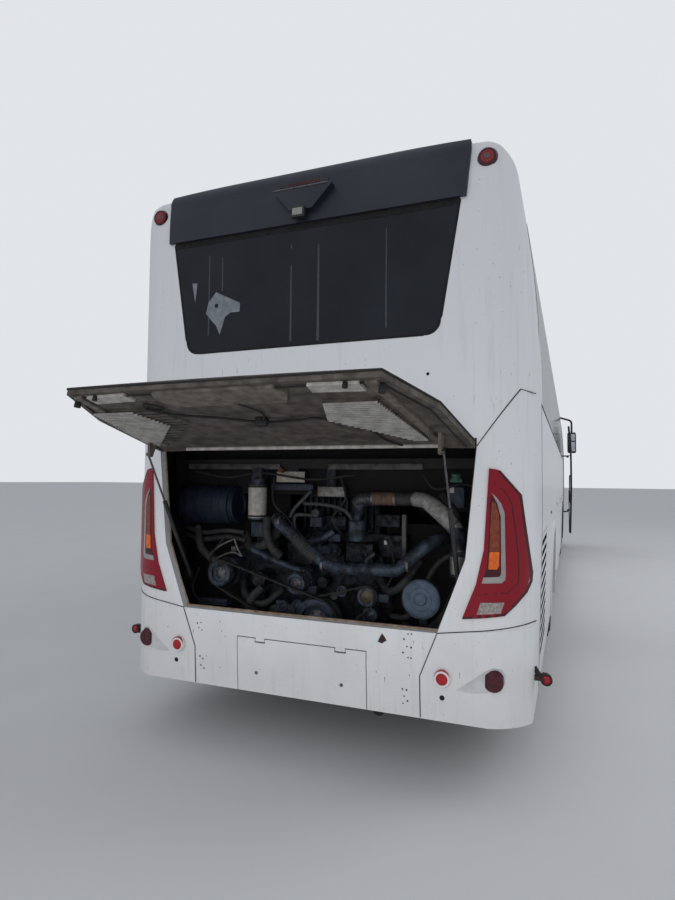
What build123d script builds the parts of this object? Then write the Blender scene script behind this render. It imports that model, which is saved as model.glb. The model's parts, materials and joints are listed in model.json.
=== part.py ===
"""Coach bus: a two-axle, high-deck touring coach with its engine lid and its front door open.

Millimetres. +X is the bus's right-hand (kerb) side, +Y is forward and +Z is up from the ground.
Lengths along the bus are measured from the rear face, and every node is moved by origin_y when it
is written, so that the origin lies on the ground under the middle of the whole outline.
"""
from build123d import *
from math import acos, asin, atan2, cos, hypot, pi, radians, sin, sqrt
import os

os.makedirs("parts", exist_ok=True)

# Body shell
rear_overhang = 3410.0
wheelbase = 6850.0
front_overhang = 2850.0
half_width = 1268.0
skirt_z = 340.0
skirt_tuck = 32.0
shoulder_z = 1370.0
belt_z = 2000.0
tumblehome = 78.0
roof_z = 3410.0
cant_drop = 250.0
cant_bulge = 35.0
roof_edge_x = 1040.0
roof_edge_drop = 50.0
wall = 50.0
plan_margin = 3.0
seam = 0.8
seat_gap = 0.3
run_gap = 8.0

# Rear face
rear_corner = 320.0
rear_bow = 8.0
rear_lean = 45.0
rear_lean_z = 2900.0
rear_round = 100.0
rear_round_drop = 94.0
bumper_lean = 30.0
bumper_lean_z = 600.0

# Front face
front_corner_x = 960.0
front_bow = 110.0
dash_z = 1400.0
screen_rake = 430.0
screen_top_z = 3120.0
brow_run = 420.0
front_seam_back = 880.0
bumper_top_z = 800.0

# Rear panels
cap_depth = 700.0
sill_z = 2030.0
opening_top_z = 1790.0
opening_low_z = 785.0
opening_top_x = 984.0
opening_waist_x = 925.0
opening_waist_z = 1170.0
opening_low_x = 780.0
seam_peak_x = 1192.0
seam_peak_z = 2045.0
bumper_seam_x = 690.0
bumper_seam_z = 560.0
bumper_corner_z = 849.0
tow_flap_half = 400.0
tow_flap_low_z = 385.0
tow_flap_high_z = 655.0
tow_socket_y = 150.0
tow_socket_z = 300.0
tow_socket_radius = 20.5
tow_socket_length = 120.0
tow_socket_wall = 18.0

# Glass
glass = 8.0
rear_glass_top_z = 3055.0
rear_glass_low_z = 2340.0
rear_glass_top_x = 905.0
rear_glass_low_x = 800.0
rear_glass_round = 90.0
window_low_z = 2040.0
window_high_z = 3010.0
window_start = 820.0
window_count = 7
pillar = 90.0
pane_gap = 8.0
band_short = 60.0
screen_half_top = 1010.0
screen_half_low = 1130.0
screen_low_z = 1480.0

# Spoiler and its camera housing
spoiler_low_z = 3060.0
spoiler_half_low = 936.0
spoiler_half_top = 958.0
spoiler_proud = 20.0
housing_top_half = 185.0
housing_low_half = 70.0
housing_top_z = 3255.0
housing_low_z = 3120.0
housing_proud = 62.0

# Lamps
tail_lamp_depth = 60.0
tail_lamp_proud = 12.0
top_lamp = (1040.0, 3268.0, 42.0)
bumper_lamp = (808.0, 568.0, 40.0)
fog_lamp = (1060.0, 571.0, 50.0)
marker_y = 215.0
marker_z = 558.0
marker_reach = 45.0

# Running gear
tyre_radius = 505.0
tyre_width = 290.0
rim_radius = 286.0
track_x = 1068.0
twin_spacing = 332.0
arch_radius = 600.0
kingpin_x = 870.0
spindle_radius = 48.0
hub_radius = 130.0
hand_holes = 8
hand_hole = 24.0
hand_hole_at = 212.0
bore_gap = 0.05
kingpin_radius = 26.0
axle_tube = 75.0

# Floors and frame
floor_z = 1360.0
floor_thick = 40.0
rear_floor_z = 1840.0
firewall_y = 1700.0
bay_floor_z = 440.0
bay_past_rear_axle = 790.0
bay_before_front_axle = 760.0
bulkhead = 30.0
platform_z = 1120.0
rail_x = 420.0
rail_half = 40.0
rail_low_z = 830.0
rail_high_z = 990.0
cradle_low_z = 470.0
cradle_high_z = 590.0
cradle_front = 2560.0

# Side flaps
flap_top_z = 1250.0
flap_thick = 36.0
bay_flap_count = 3
grille_end = 1560.0
grille_slots = 11
grille_slot_rise = 170.0
grille_slot_pitch = 66.0
grille_slot_high = 36.0
grille_margin = 90.0

# Front door
door_past_axle = 1020.0
door_width = 880.0
door_low_z = 345.0
door_top_z = 2900.0
door_front_gap = 26.0
door_arm = 500.0
door_arm_levels = (860.0, 2180.0)
door_closed_deg = -75.0
door_open_deg = 50.7
door_pin_inset = 55.0
door_pillar_radius = 24.0
door_pin_radius = 12.0
door_leaf_thick = 44.0
door_window = 110.0
door_pillar_low_z = 420.0
door_pillar_high_z = 2700.0
door_arm_bar = 16.0

# Engine lid
lid_open_deg = 102.7
lid_thick = 36.0
lid_gap = 8.0
lid_hinge_drop = 18.0
lid_hinge_y = 2.0
lid_pin = 5.0
lid_edge = 7.0
lid_hinge_x = 600.0
lining = 14.0
strut_x = 865.0
strut_foot = (180.0, 950.0)
strut_eye_drop = 240.0
strut_eye_in = 120.0
strut_tube = 13.0
strut_rod = 6.0
strut_overlap = 90.0
strut_pin = 7.0

# Flap hinges
hinge_pin = 3.0
hinge_drop = 15.0
hinge_edge = 5.0
hinge_in = 8.0
hinge_half = 28.0
hinge_reach = 24.0

# Mirrors
mirror_x = 1455.0
mirror_ahead = 40.0
mirror_z = 2560.0
mirror_half = (105.0, 60.0, 265.0)
mirror_round = 45.0
mirror_arm = 24.0
mirror_root = (1040.0, 480.0, 3180.0)
mirror_crook = (1150.0, 150.0, 3200.0)
mirror_bend_z = 3120.0

# Entrance steps: inner edge, outer edge and height of each
aisle_edge = 430.0
stair_edge = 1170.0
stair_low_z = 360.0
stair_depth = 240.0
stair_table = ((940.0, stair_edge, 560.0), (700.0, 940.0, 760.0), (aisle_edge, 700.0, 950.0))

# Engine, radiator and silencer
engine_face = 520.0
engine_back = 1500.0
engine_half = 330.0
block_low_z = 640.0
block_high_z = 1230.0
head_high_z = 1470.0
gearbox_back = 2150.0
gearbox_z = 800.0
gearbox_radius = 240.0
shaft_radius = 52.0
radiator_box = (990.0, 1110.0, 780.0, 1480.0, 480.0, 1290.0)
shroud_centre = (1130.0, 885.0)
shroud_radius = 330.0
silencer_centre = (-860.0, 780.0)
silencer_radius = 230.0
silencer_span = (700.0, 1600.0)
tail_pipe_radius = 48.0

# Seats
seat_inner = 215.0
seat_outer = 1165.0
seat_pitch = 800.0
seat_first = 370.0
seat_depth = 520.0

# Positions that follow from the sizes above
body_length = rear_overhang + wheelbase + front_overhang
axle_y = {"rear": rear_overhang, "front": rear_overhang + wheelbase}
cant_z = roof_z - cant_drop
roof_edge_z = roof_z - roof_edge_drop
front_seam_y = body_length - front_seam_back
bay_start = axle_y["rear"] + bay_past_rear_axle
bay_end = axle_y["front"] - bay_before_front_axle
door_rear_y = axle_y["front"] + door_past_axle
door_front_y = door_rear_y + door_width
hinge_z = opening_top_z - lid_hinge_drop
lid_swing = radians(lid_open_deg)
lid_reach = ((hinge_z - opening_low_z - lid_gap) * sin(lid_swing) - lid_hinge_y
             - (lid_thick - lid_hinge_y) * cos(lid_swing))
mirror_front = mirror_ahead + mirror_half[1]
origin_y = (body_length + mirror_front - lid_reach) / 2


def box(x0, x1, y0, y1, z0, z1):
    """Block between two corners."""
    return Pos((x0 + x1) / 2, (y0 + y1) / 2, (z0 + z1) / 2) * Box(x1 - x0, y1 - y0, z1 - z0)


def face_on(plane, start, moves):
    """Closed face on a plane: a move is a point for a line, or (through, end) for an arc."""
    place = lambda p: plane.from_local_coords((p[0], p[1], 0))
    edges = []
    here = start
    for move in moves:
        if isinstance(move[0], tuple):
            through, end = move
            edges.append(Edge.make_three_point_arc(place(here), place(through), place(end)))
        else:
            end = move
            edges.append(Edge.make_line(place(here), place(end)))
        here = end
    if hypot(here[0] - start[0], here[1] - start[1]) > 1e-6:
        edges.append(Edge.make_line(place(here), place(start)))
    return Face(Wire(edges))


def prism(plane, start, moves, low, high):
    """The outline on a plane, extruded between two offsets along the row axis across it."""
    axis = {"XY": Vector(0, 0, 1), "XZ": Vector(0, 1, 0), "YZ": Vector(1, 0, 0)}
    name = {(0, 0, 1): "XY", (0, -1, 0): "XZ", (1, 0, 0): "YZ"}[tuple(round(v) for v in plane.z_dir)]
    face = face_on(plane, start, moves).moved(Location(axis[name] * low))
    return Solid.extrude(face, axis[name] * (high - low))


def cylinder(axis, centre, radius, low, high):
    """Round bar along X, Y or Z between two offsets; centre holds the other two coordinates."""
    if axis == "x":
        place = Plane(origin=(low, centre[0], centre[1]), z_dir=(1, 0, 0))
    elif axis == "y":
        place = Plane(origin=(centre[0], low, centre[1]), z_dir=(0, 1, 0))
    else:
        place = Plane(origin=(centre[0], centre[1], low), z_dir=(0, 0, 1))
    return Solid.make_cylinder(radius, high - low, place)


def rod(start, end, radius):
    """Round bar between two points."""
    run = Vector(end) - Vector(start)
    return Solid.make_cylinder(radius, run.length, Plane(origin=start, z_dir=run))


def pipe(points, bends, radius):
    """Bent pipe of straight runs and tangent arcs."""
    path = FilletPolyline(*points, radius=bends)
    return sweep(Plane(origin=path @ 0, z_dir=path % 0) * Circle(radius), path=path)


def mirrored(shape):
    """The same piece on the other side of the bus."""
    return mirror(shape, about=Plane.YZ)


def solids_of(shape):
    """All solids in one shape or list."""
    if isinstance(shape, (list, tuple)):
        return [solid for piece in shape for solid in solids_of(piece)]
    return list(shape.solids())


def join(pieces):
    """Pieces fused into one shape."""
    pieces = list(pieces)
    whole = pieces[0]
    for piece in pieces[1:]:
        whole = whole + piece
    return whole


def save(name, *shapes):
    """Write one node, moved so that its frame is the bus's own."""
    shape = Compound(solids_of(list(shapes)))
    export_step(shape.moved(Location((0, -origin_y, 0))), "parts/" + name + ".step")


# Outer envelope: the cross-section, the plan and the side outline, met in one solid
def section_prism(inset):
    half = half_width - inset
    low = half - skirt_tuck
    rise = cant_z - belt_z
    radius = (tumblehome ** 2 + rise ** 2) / (2 * tumblehome)
    mid_z = (belt_z + cant_z) / 2
    mid = half - (radius - sqrt(radius ** 2 - (mid_z - belt_z) ** 2))
    top = half - tumblehome
    edge = (roof_edge_x - inset / 4, roof_edge_z - inset)
    fall = roof_edge_z - cant_z
    run = half_width - tumblehome - roof_edge_x
    bulge = (cant_bulge - inset) / hypot(run, fall)
    bow = (roof_edge_x + run / 2 + bulge * fall, cant_z + fall / 2 + bulge * run)
    flip = lambda p: (-p[0], p[1])
    start = (low, skirt_z)
    moves = [(half, shoulder_z), (half, belt_z), ((mid, mid_z), (top, cant_z)), (bow, edge),
             ((0, roof_z - inset), flip(edge)), (flip(bow), (-top, cant_z)),
             ((-mid, mid_z), (-half, belt_z)), (-half, shoulder_z), (-low, skirt_z)]
    return prism(Plane.XZ, start, moves, -200.0, body_length + 200.0)


def plan_prism(inset):
    half = half_width + plan_margin - inset
    radius = rear_corner - inset
    rear = (half_width + plan_margin - rear_corner, inset)
    rear_mid = (rear[0] + radius * sin(pi / 4), rear_corner - radius * cos(pi / 4))
    nose = body_length - inset
    bow_radius = (front_corner_x ** 2 + front_bow ** 2) / (2 * front_bow)
    turn = pi / 2 - asin(front_corner_x / bow_radius)
    corner = (half - front_corner_x) / (1 - cos(turn))
    front_end = (front_corner_x, nose - front_bow)
    front_start = (half, nose - front_bow - corner * sin(turn))
    front_mid = (half - corner * (1 - cos(turn / 2)), front_start[1] + corner * sin(turn / 2))
    flip = lambda p: (-p[0], p[1])
    moves = [(rear_mid, (half, rear_corner)), front_start, (front_mid, front_end),
             ((0, nose), flip(front_end)), (flip(front_mid), flip(front_start)),
             (-half, rear_corner), (flip(rear_mid), flip(rear)), ((0, inset - rear_bow), rear)]
    return prism(Plane.XY, rear, moves, 0.0, roof_z + 200.0)


def side_prism(inset):
    tail = inset - rear_bow
    nose = body_length - inset
    top = roof_z + 100.0
    turn_z = roof_z - rear_round_drop
    lean_mid = (tail + rear_lean * 0.3, (rear_lean_z + turn_z) / 2)
    rounded = lambda angle: (rear_lean - rear_bow + rear_round - (rear_round - inset) * cos(radians(angle)),
                             turn_z + (rear_round - inset) * sin(radians(angle)))
    start = (tail + bumper_lean, skirt_z - 150.0)
    screen_mid = (nose - screen_rake * 0.32, (dash_z + screen_top_z) / 2)
    brow = (nose - screen_rake - brow_run, top)
    moves = [(nose - bumper_lean, skirt_z - 150.0), (nose, bumper_lean_z), (nose, dash_z),
             (screen_mid, (nose - screen_rake, screen_top_z)),
             ((nose - screen_rake - brow_run * 0.36, screen_top_z + (top - screen_top_z) * 0.7), brow),
             rounded(80), (rounded(40), rounded(0)), (lean_mid, (tail, rear_lean_z)), (tail, bumper_lean_z)]
    return prism(Plane.YZ, start, moves, -half_width - 100.0, half_width + 100.0)


def envelope(inset):
    return section_prism(inset) & plan_prism(inset) & side_prism(inset)


outside = envelope(0.0)
behind_glass = envelope(glass)
behind_seal = envelope(glass + seat_gap)
inside = envelope(wall)
shell = outside - inside
glass_skin = outside - behind_glass
rebate_skin = outside - behind_seal


# Rear panels: one moulding above the engine opening, two corner panels and a three-piece bumper
def across(points, low, high):
    """Symmetric prism along Y from the right-hand points, listed upwards."""
    left = [(-x, z) for x, z in reversed(points)]
    return prism(Plane.XZ, points[0], points[1:] + left, low, high)


def right_side(points, low, high):
    """Prism along Y from points on the right-hand half."""
    return prism(Plane.XZ, points[0], points[1:], low, high)


seam_foot_z = opening_top_z - 45.0
beyond = half_width + 300.0
over = roof_z + 300.0
opening = across([(opening_low_x, opening_low_z), (opening_waist_x, opening_waist_z),
                  (opening_top_x, seam_foot_z), (opening_top_x, opening_top_z)], -200.0, wall + 200.0)
cap_region = across([(opening_top_x, opening_top_z), (opening_top_x, seam_foot_z + seam),
                     (seam_peak_x, seam_peak_z + seam), (beyond, sill_z + seam), (beyond, over)],
                    -300.0, cap_depth - seam)
corner_region = right_side([(0.0, bumper_corner_z), (beyond, bumper_corner_z), (beyond, sill_z),
                            (seam_peak_x, seam_peak_z), (opening_top_x, seam_foot_z),
                            (0.0, seam_foot_z)], -300.0, cap_depth - seam)
corner_foot = right_side([(0.0, opening_low_z), (opening_low_x, opening_low_z),
                          (half_width - rear_corner, bumper_corner_z - 40.0),
                          (beyond, bumper_corner_z), (0.0, bumper_corner_z)], -300.0, cap_depth - seam)
low = skirt_z - 100.0
bumper_corner_region = right_side([(bumper_seam_x, low), (bumper_seam_x, bumper_seam_z),
                                   (opening_low_x, opening_low_z - seam),
                                   (half_width - rear_corner, bumper_corner_z - 40.0 - seam),
                                   (beyond, bumper_corner_z - seam), (beyond, low)],
                                  -300.0, cap_depth - seam)
bumper_centre_region = across([(bumper_seam_x - seam, low), (bumper_seam_x - seam, bumper_seam_z),
                               (opening_low_x - seam, opening_low_z)], -300.0, cap_depth)
glass_outline = [(rear_glass_low_x - rear_glass_round, rear_glass_low_z),
                 (rear_glass_low_x, rear_glass_low_z + rear_glass_round),
                 (rear_glass_top_x, rear_glass_top_z)]


def rear_glass_prism(margin, reach):
    (bottom_x, bottom_z), (side_x, side_z), (top_x, top_z) = glass_outline
    bottom_z += margin
    side_x -= margin
    top_x -= margin
    top_z -= margin
    through = (side_x - rear_glass_round * 0.25, bottom_z + rear_glass_round * 0.25)
    flip = lambda p: (-p[0], p[1])
    right = (side_x, side_z)
    low_right = (bottom_x, bottom_z)
    moves = [(through, right), (top_x, top_z), (-top_x, top_z), flip(right),
             (flip(through), flip(low_right))]
    return prism(Plane.XZ, low_right, moves, -300.0, reach)


rear_cap = (shell & cap_region) - rear_glass_prism(28.0, 200.0)
rear_cap = rear_cap - (rebate_skin & rear_glass_prism(0.0, 200.0))
rear_glass = glass_skin & rear_glass_prism(seat_gap, 200.0)

# Tail lamps: a blade shape let into each corner panel
lamp_outline = [(908.0, 872.0), (1108.0, 896.0), (1210.0, 1009.0), (1234.0, 1105.0), (1188.0, 1505.0),
                (1087.0, 1628.0), (1044.0, 1635.0), (1017.0, 1223.0), (978.0, 1049.0)]
lamp_well = right_side(lamp_outline, -300.0, rear_corner)
lamp_shell = envelope(-tail_lamp_proud) - envelope(tail_lamp_depth - 20.0)
tail_lamp = lamp_shell & lamp_well
corner_panel = (shell & (corner_region + corner_foot)) - opening - lamp_well

# Bumper: corners with lamp recesses, a centre panel and its access flap
lamp_x, lamp_z, lamp_r = bumper_lamp
fog_x, fog_z, fog_r = fog_lamp
bumper_corner = shell & bumper_corner_region
bumper_corner -= cylinder("y", (lamp_x, lamp_z), lamp_r + seat_gap, -100.0, 30.0)
bumper_corner -= cylinder("y", (fog_x, fog_z), fog_r + seat_gap, -100.0, rear_corner)
flap_zone = box(-tow_flap_half, tow_flap_half, -100.0, 200.0, tow_flap_low_z - 200.0, tow_flap_high_z)
tow_zone = box(-tow_flap_half + 5.0, tow_flap_half - 5.0, -100.0, 200.0, tow_flap_low_z - 200.0,
               tow_flap_high_z - 6.0)
bumper_centre = (shell & bumper_centre_region) - opening - flap_zone
tow_flap = (shell - envelope(flap_thick)) & bumper_centre_region & tow_zone
lamp_drum = cylinder("y", (lamp_x, lamp_z), lamp_r, -22.0, 29.0)
fog_drum = cylinder("y", (fog_x, fog_z), fog_r, 6.0, wall + 30.0)
top_x, top_z, top_r = top_lamp
top_drum = cylinder("y", (top_x, top_z), top_r, 15.0, wall + 60.0)
rear_cap -= cylinder("y", (top_x, top_z), top_r + seat_gap, -100.0, rear_corner)
rear_cap -= cylinder("y", (-top_x, top_z), top_r + seat_gap, -100.0, rear_corner)

save("rear_glass", rear_glass)
save("rear_corners", corner_panel, mirrored(corner_panel))

# Spoiler cap over the top of the rear, with the camera housing under its middle
spoiler_outline = [(spoiler_half_low, spoiler_low_z), (spoiler_half_top, roof_z - 75.0),
                   (spoiler_half_top - 40.0, over)]
spoiler = (envelope(-spoiler_proud) - outside) & across(spoiler_outline, -300.0, 420.0)
housing_outline = [(housing_low_half, housing_low_z), (housing_top_half, housing_top_z)]
housing = (side_prism(-housing_proud) & across(housing_outline, -300.0, 300.0)) - envelope(-spoiler_proud)
save("spoiler", spoiler + housing)

# Roof, side walls with their window bands, and the glass
roof_panel = shell & box(-beyond, beyond, cap_depth, front_seam_y, cant_z, over)
hatch_y = (axle_y["rear"] - 110.0, axle_y["front"] - 960.0)
hatch_half = 330.0
for y in hatch_y:
    roof_panel -= box(-hatch_half, hatch_half, y - hatch_half, y + hatch_half, roof_z - 200, over)
save("roof_panel", roof_panel)
hatches = []
for y in hatch_y:
    edge = hatch_half - seat_gap
    hatches.append((envelope(-35.0) - inside) & box(-edge, edge, y - edge, y + edge, roof_z - 200, over))
unit_start, unit_length, unit_half, unit_high = axle_y["rear"] + 1590.0, 2700.0, 880.0, 190.0
unit_end = unit_start + unit_length
unit = prism(Plane.YZ, (unit_start, roof_z - 100.0),
             [(unit_start + 30, roof_z + 60), ((unit_start + 160, roof_z + unit_high - 30),
              (unit_start + 420, roof_z + unit_high)), (unit_end - 420, roof_z + unit_high),
              ((unit_end - 160, roof_z + unit_high - 30), (unit_end - 30, roof_z + 60)),
              (unit_end, roof_z - 100.0)], -unit_half, unit_half)
unit_section = prism(Plane.XZ, (-unit_half, roof_z - 100),
                     [(-unit_half + 30, roof_z + 70), ((-unit_half + 120, roof_z + unit_high - 40),
                      (-unit_half + 330, roof_z + unit_high)), (unit_half - 330, roof_z + unit_high),
                      ((unit_half - 120, roof_z + unit_high - 40), (unit_half - 30, roof_z + 70)),
                      (unit_half, roof_z - 100)], unit_start - 50, unit_end + 50)
save("roof_fittings", hatches, (unit & unit_section) - outside)

pitch = (front_seam_y - band_short - window_start) / window_count
window_ends = {"left": front_seam_y - band_short, "right": door_rear_y - pillar / 2}
door_cut = box(0, beyond, door_rear_y - run_gap, door_front_y + door_front_gap,
               door_low_z - 100.0, door_top_z + run_gap)
side_walls = {}
all_panes = []
for name, sign in (("left", -1), ("right", 1)):
    x0, x1 = sorted((0.0, sign * beyond))
    wall_piece = shell & box(x0, x1, cap_depth, front_seam_y, flap_top_z, cant_z - seam)
    panes = []
    for index in range(window_count):
        y0 = window_start + index * pitch
        y1 = min(y0 + pitch, window_ends[name])
        inner = box(x0, x1, y0 + pillar / 2, y1 - pillar / 2, window_low_z + 45, window_high_z - 45)
        pane = glass_skin & box(x0, x1, y0 + pane_gap / 2, y1 - pane_gap / 2,
                                window_low_z + seat_gap, window_high_z - seat_gap)
        wall_piece -= inner
        panes.append(pane)
    wall_piece -= rebate_skin & box(x0, x1, window_start + pane_gap / 2 - seat_gap,
                                    window_ends[name] - pane_gap / 2 + seat_gap, window_low_z,
                                    window_high_z)
    side_walls[name] = wall_piece - door_cut if name == "right" else wall_piece
    all_panes += panes


def skin_x(z):
    """Half-width of the outer skin below the shoulder."""
    return half_width - skirt_tuck * (shoulder_z - z) / (shoulder_z - skirt_z)


def lug_pin(axis, at, centre, size):
    """Hinge knuckle hanging from the panel above, with its pin; the box notch and the bores."""
    half, drop, edge, pin, reach = size
    a, z = centre
    grip = pin + 3.0
    if axis == "y":
        block = box(a - grip, a + grip, at - half, at + half, z - grip, z + drop)
        notch = box(a - 200, a + 200, at - half - 6, at + half + 6, z - grip - 8, z + drop)
    else:
        block = box(at - half, at + half, a - grip, a + grip, z - grip, z + drop)
        notch = box(at - half - 6, at + half + 6, a - 200, a + 200, z - grip - 8, z + drop)
    pin_bar = cylinder(axis, (a, z), pin, at - half - reach, at + half + reach)
    bore = cylinder(axis, (a, z), pin + bore_gap, at - half - reach - 1, at + half + reach + 1)
    return block + pin_bar, notch, bore


# Lower sides: fixed panels round the wheels, and the top-hinged flaps between them
arch_side = 120.0
flap_hinge_z = flap_top_z - hinge_drop
flap_axis_x = skin_x(flap_hinge_z) - hinge_in
lower_skin = outside - envelope(wall)
flap_skin = outside - envelope(flap_thick)
rear_arch = (axle_y["rear"] - arch_radius - arch_side, axle_y["rear"] + arch_radius + arch_side)
front_arch = (axle_y["front"] - arch_radius - arch_side, axle_y["front"] + arch_radius + arch_side)
bay_pitch = (front_arch[0] - rear_arch[1]) / bay_flap_count
flap_spans = {"left": {"service_flap": (cap_depth, rear_arch[0])},
              "right": {"grille_flap": (cap_depth, grille_end)}}
for side in ("left", "right"):
    for index in range(bay_flap_count):
        y0 = rear_arch[1] + index * bay_pitch
        flap_spans[side]["bay_flap_" + side + "_" + str(index + 1)] = (y0, y0 + bay_pitch)

hinge_size = (hinge_half, hinge_drop, hinge_edge, hinge_pin, hinge_reach)
for side, spans in flap_spans.items():
    for name, (y0, y1) in spans.items():
        flap = flap_skin & box(0, beyond, y0 + run_gap / 2, y1 - run_gap / 2, skirt_z,
                               flap_hinge_z + hinge_edge)
        for at in (y0 + (y1 - y0) * 0.18, y1 - (y1 - y0) * 0.18):
            knuckle, notch, bore = lug_pin("y", at, (flap_axis_x, flap_hinge_z), hinge_size)
            flap = flap - notch - bore
            side_walls[side] = side_walls[side] + (knuckle if side == "right" else mirrored(knuckle))
        if name == "grille_flap":
            for step in range(grille_slots):
                slot_z = skirt_z + grille_slot_rise + step * grille_slot_pitch
                flap -= box(0, beyond, y0 + grille_margin, y1 - grille_margin, slot_z,
                            slot_z + grille_slot_high)
        save(name, flap if side == "right" else mirrored(flap))

arches = []
for start, end, axle in (rear_arch + ("rear",), front_arch + ("front",)):
    panel = lower_skin & box(0, beyond, start + run_gap / 2, end - run_gap / 2, skirt_z,
                             flap_top_z - seam)
    hub = (axle_y[axle], tyre_radius)
    arch_cut = cylinder("x", hub, arch_radius, 0, beyond)
    lip = (envelope(-14.0) - outside) & box(0, beyond, start, end, skirt_z, flap_top_z)
    lip = lip & (cylinder("x", hub, arch_radius + 70.0, 0, beyond) - arch_cut)
    arches.append((panel - arch_cut) + lip)
fixed_spans = {"left": [(front_arch[1], front_seam_y)],
               "right": [(grille_end, rear_arch[0]), (front_arch[1], door_rear_y - run_gap)]}
for side, spans in fixed_spans.items():
    for y0, y1 in spans:
        panel = lower_skin & box(0, beyond, y0 + run_gap / 2, y1 - seam, skirt_z, flap_top_z - seam)
        arches.append(panel if side == "right" else mirrored(panel))
arches += [mirrored(arch) for arch in arches[:2]]
save("lower_panels", arches)
save("side_wall_left", side_walls["left"])
save("side_wall_right", side_walls["right"])

# Front: mask, windscreen, bumper and headlamps
front_zone = box(-beyond, beyond, front_seam_y + seam, body_length + 400, 0, over)


def screen_region(margin):
    points = [(screen_half_low + margin, screen_low_z - margin),
              (screen_half_top + margin, screen_top_z + margin)]
    return across(points, front_seam_y + 200.0, body_length + 300.0)


head_outline = [(640.0, 880.0), (1150.0, 880.0), (1215.0, 1010.0), (1190.0, 1090.0), (700.0, 1010.0)]
head_region = prism(Plane.XZ, head_outline[0], head_outline[1:], front_seam_y + 250, body_length + 300)
windscreen = glass_skin & screen_region(-seat_gap)
front_shell = shell & front_zone
front_mask = front_shell & box(-beyond, beyond, 0, body_length + 400, bumper_top_z + seam, over)
front_mask = front_mask - screen_region(-45.0) - (rebate_skin & screen_region(0.0))
front_mask = front_mask - head_region - mirrored(head_region)
headlamp = (envelope(-6.0) - envelope(wall)) & head_region
front_bumper = front_shell & box(-beyond, beyond, 0, body_length + 400, 0, bumper_top_z)
save("glazing", all_panes, windscreen)
save("front_mask", front_mask)
save("headlamps", headlamp, mirrored(headlamp))
save("front_bumper", front_bumper)

# Mirrors on cranked arms from the front top corners
mirror_y = body_length + mirror_ahead
from_nose = lambda p: (p[0], body_length - p[1], p[2])
arm = pipe([from_nose(mirror_root), from_nose(mirror_crook), (mirror_x, mirror_y, mirror_bend_z),
            (mirror_x, mirror_y, mirror_z)], [110.0, 90.0], mirror_arm)
wide, deep, tall = mirror_half
head = box(mirror_x - wide, mirror_x + wide, mirror_y - deep, mirror_y + deep, mirror_z - tall, mirror_z + tall)
mirror_piece = (fillet(head.edges(), mirror_round) + arm) - outside
save("mirrors", mirror_piece, mirrored(mirror_piece))

# Front door: a curved leaf carried parallel to the side by cranked arms on a turning pillar
leaf_skin = outside - envelope(door_leaf_thick)
leaf_region = box(0, beyond, door_rear_y, door_front_y, door_low_z, door_top_z)
leaf = leaf_skin & leaf_region
door_panes = []
for low_edge, high_edge in ((door_low_z + 160.0, 1180.0), (1300.0, door_top_z - door_window)):
    y0, y1 = door_rear_y + door_window, door_front_y - door_window
    leaf -= box(0, beyond, y0, y1, low_edge, high_edge)
    door_panes.append((glass_skin & box(0, beyond, y0 + seat_gap, y1 - seat_gap, low_edge + seat_gap,
                                        high_edge - seat_gap)))
closed = radians(door_closed_deg)
opened = radians(door_open_deg)
pin_x = half_width - door_leaf_thick - door_pin_inset
pin_y = (door_rear_y + door_front_y) / 2
pillar_x = pin_x - door_arm * cos(closed)
pillar_y = pin_y - door_arm * sin(closed)
slide_x = door_arm * (cos(opened) - cos(closed))
slide_y = door_arm * (sin(opened) - sin(closed))
leaf_lugs = []
for z in door_arm_levels:
    back = half_width - door_leaf_thick + 4.0
    lug = box(pin_x - 20.0, back, pin_y - 22.0, pin_y + 22.0, z + door_arm_bar + 5.3, z + door_arm_bar + 20.0)
    stud = cylinder("z", (pin_x, pin_y), door_pin_radius, z - door_arm_bar - 4.0, z + door_arm_bar + 10.0)
    leaf_lugs.append(lug + stud)
behind_pane = behind_seal - envelope(door_leaf_thick)
bands = [behind_pane & box(0, beyond, door_rear_y + 60, door_front_y - 60, z - 35.0, z + 45.0)
         for z in door_arm_levels]
leaf = join([leaf] + bands + leaf_lugs)
leaf = leaf.moved(Location((slide_x, slide_y, 0)))
door_panes = [pane.moved(Location((slide_x, slide_y, 0))) for pane in door_panes]
open_pin = (pin_x + slide_x, pin_y + slide_y)
elbow = (half_width + 62.0, door_front_y - 75.0)
arms = []
for z in door_arm_levels:
    path = [(pillar_x, pillar_y, z), (elbow[0] + 10, elbow[1] - 40, z), (open_pin[0], open_pin[1], z)]
    arm_piece = pipe(path, [60.0], door_arm_bar)
    eye = cylinder("z", open_pin, 30.0, z - door_arm_bar, z + door_arm_bar)
    arm_piece = (arm_piece + eye) - cylinder("z", open_pin, door_pin_radius + bore_gap, z - 50, z + 50)
    arms.append(arm_piece)
door_pillar = join([cylinder("z", (pillar_x, pillar_y), door_pillar_radius, door_pillar_low_z,
                             door_pillar_high_z)] + arms)
save("door_leaf", leaf)
save("door_glass", door_panes)
save("door_pillar", door_pillar)

# Engine lid, built shut in the opening and then swung up about its hinge line
lid_axis = Axis((0, lid_hinge_y, hinge_z), (1, 0, 0))
lid_zone = across([(opening_low_x - lid_gap, opening_low_z + lid_gap),
                   (opening_waist_x - lid_gap, opening_waist_z),
                   (opening_top_x - lid_gap, seam_foot_z), (opening_top_x - lid_gap, hinge_z + lid_edge)],
                  -200.0, wall + 200.0)
lid_skin = outside - envelope(lid_thick)
lid = lid_skin & lid_zone
lid_size = (hinge_half, lid_hinge_drop, lid_edge, lid_pin, hinge_reach)
for at in (-lid_hinge_x, lid_hinge_x):
    knuckle, notch, bore = lug_pin("x", at, (lid_hinge_y, hinge_z), lid_size)
    lid = lid - notch - bore
    rear_cap = rear_cap + knuckle
save("engine_lid", lid.rotate(lid_axis, -lid_open_deg))
save("rear_cap", rear_cap)

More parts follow.
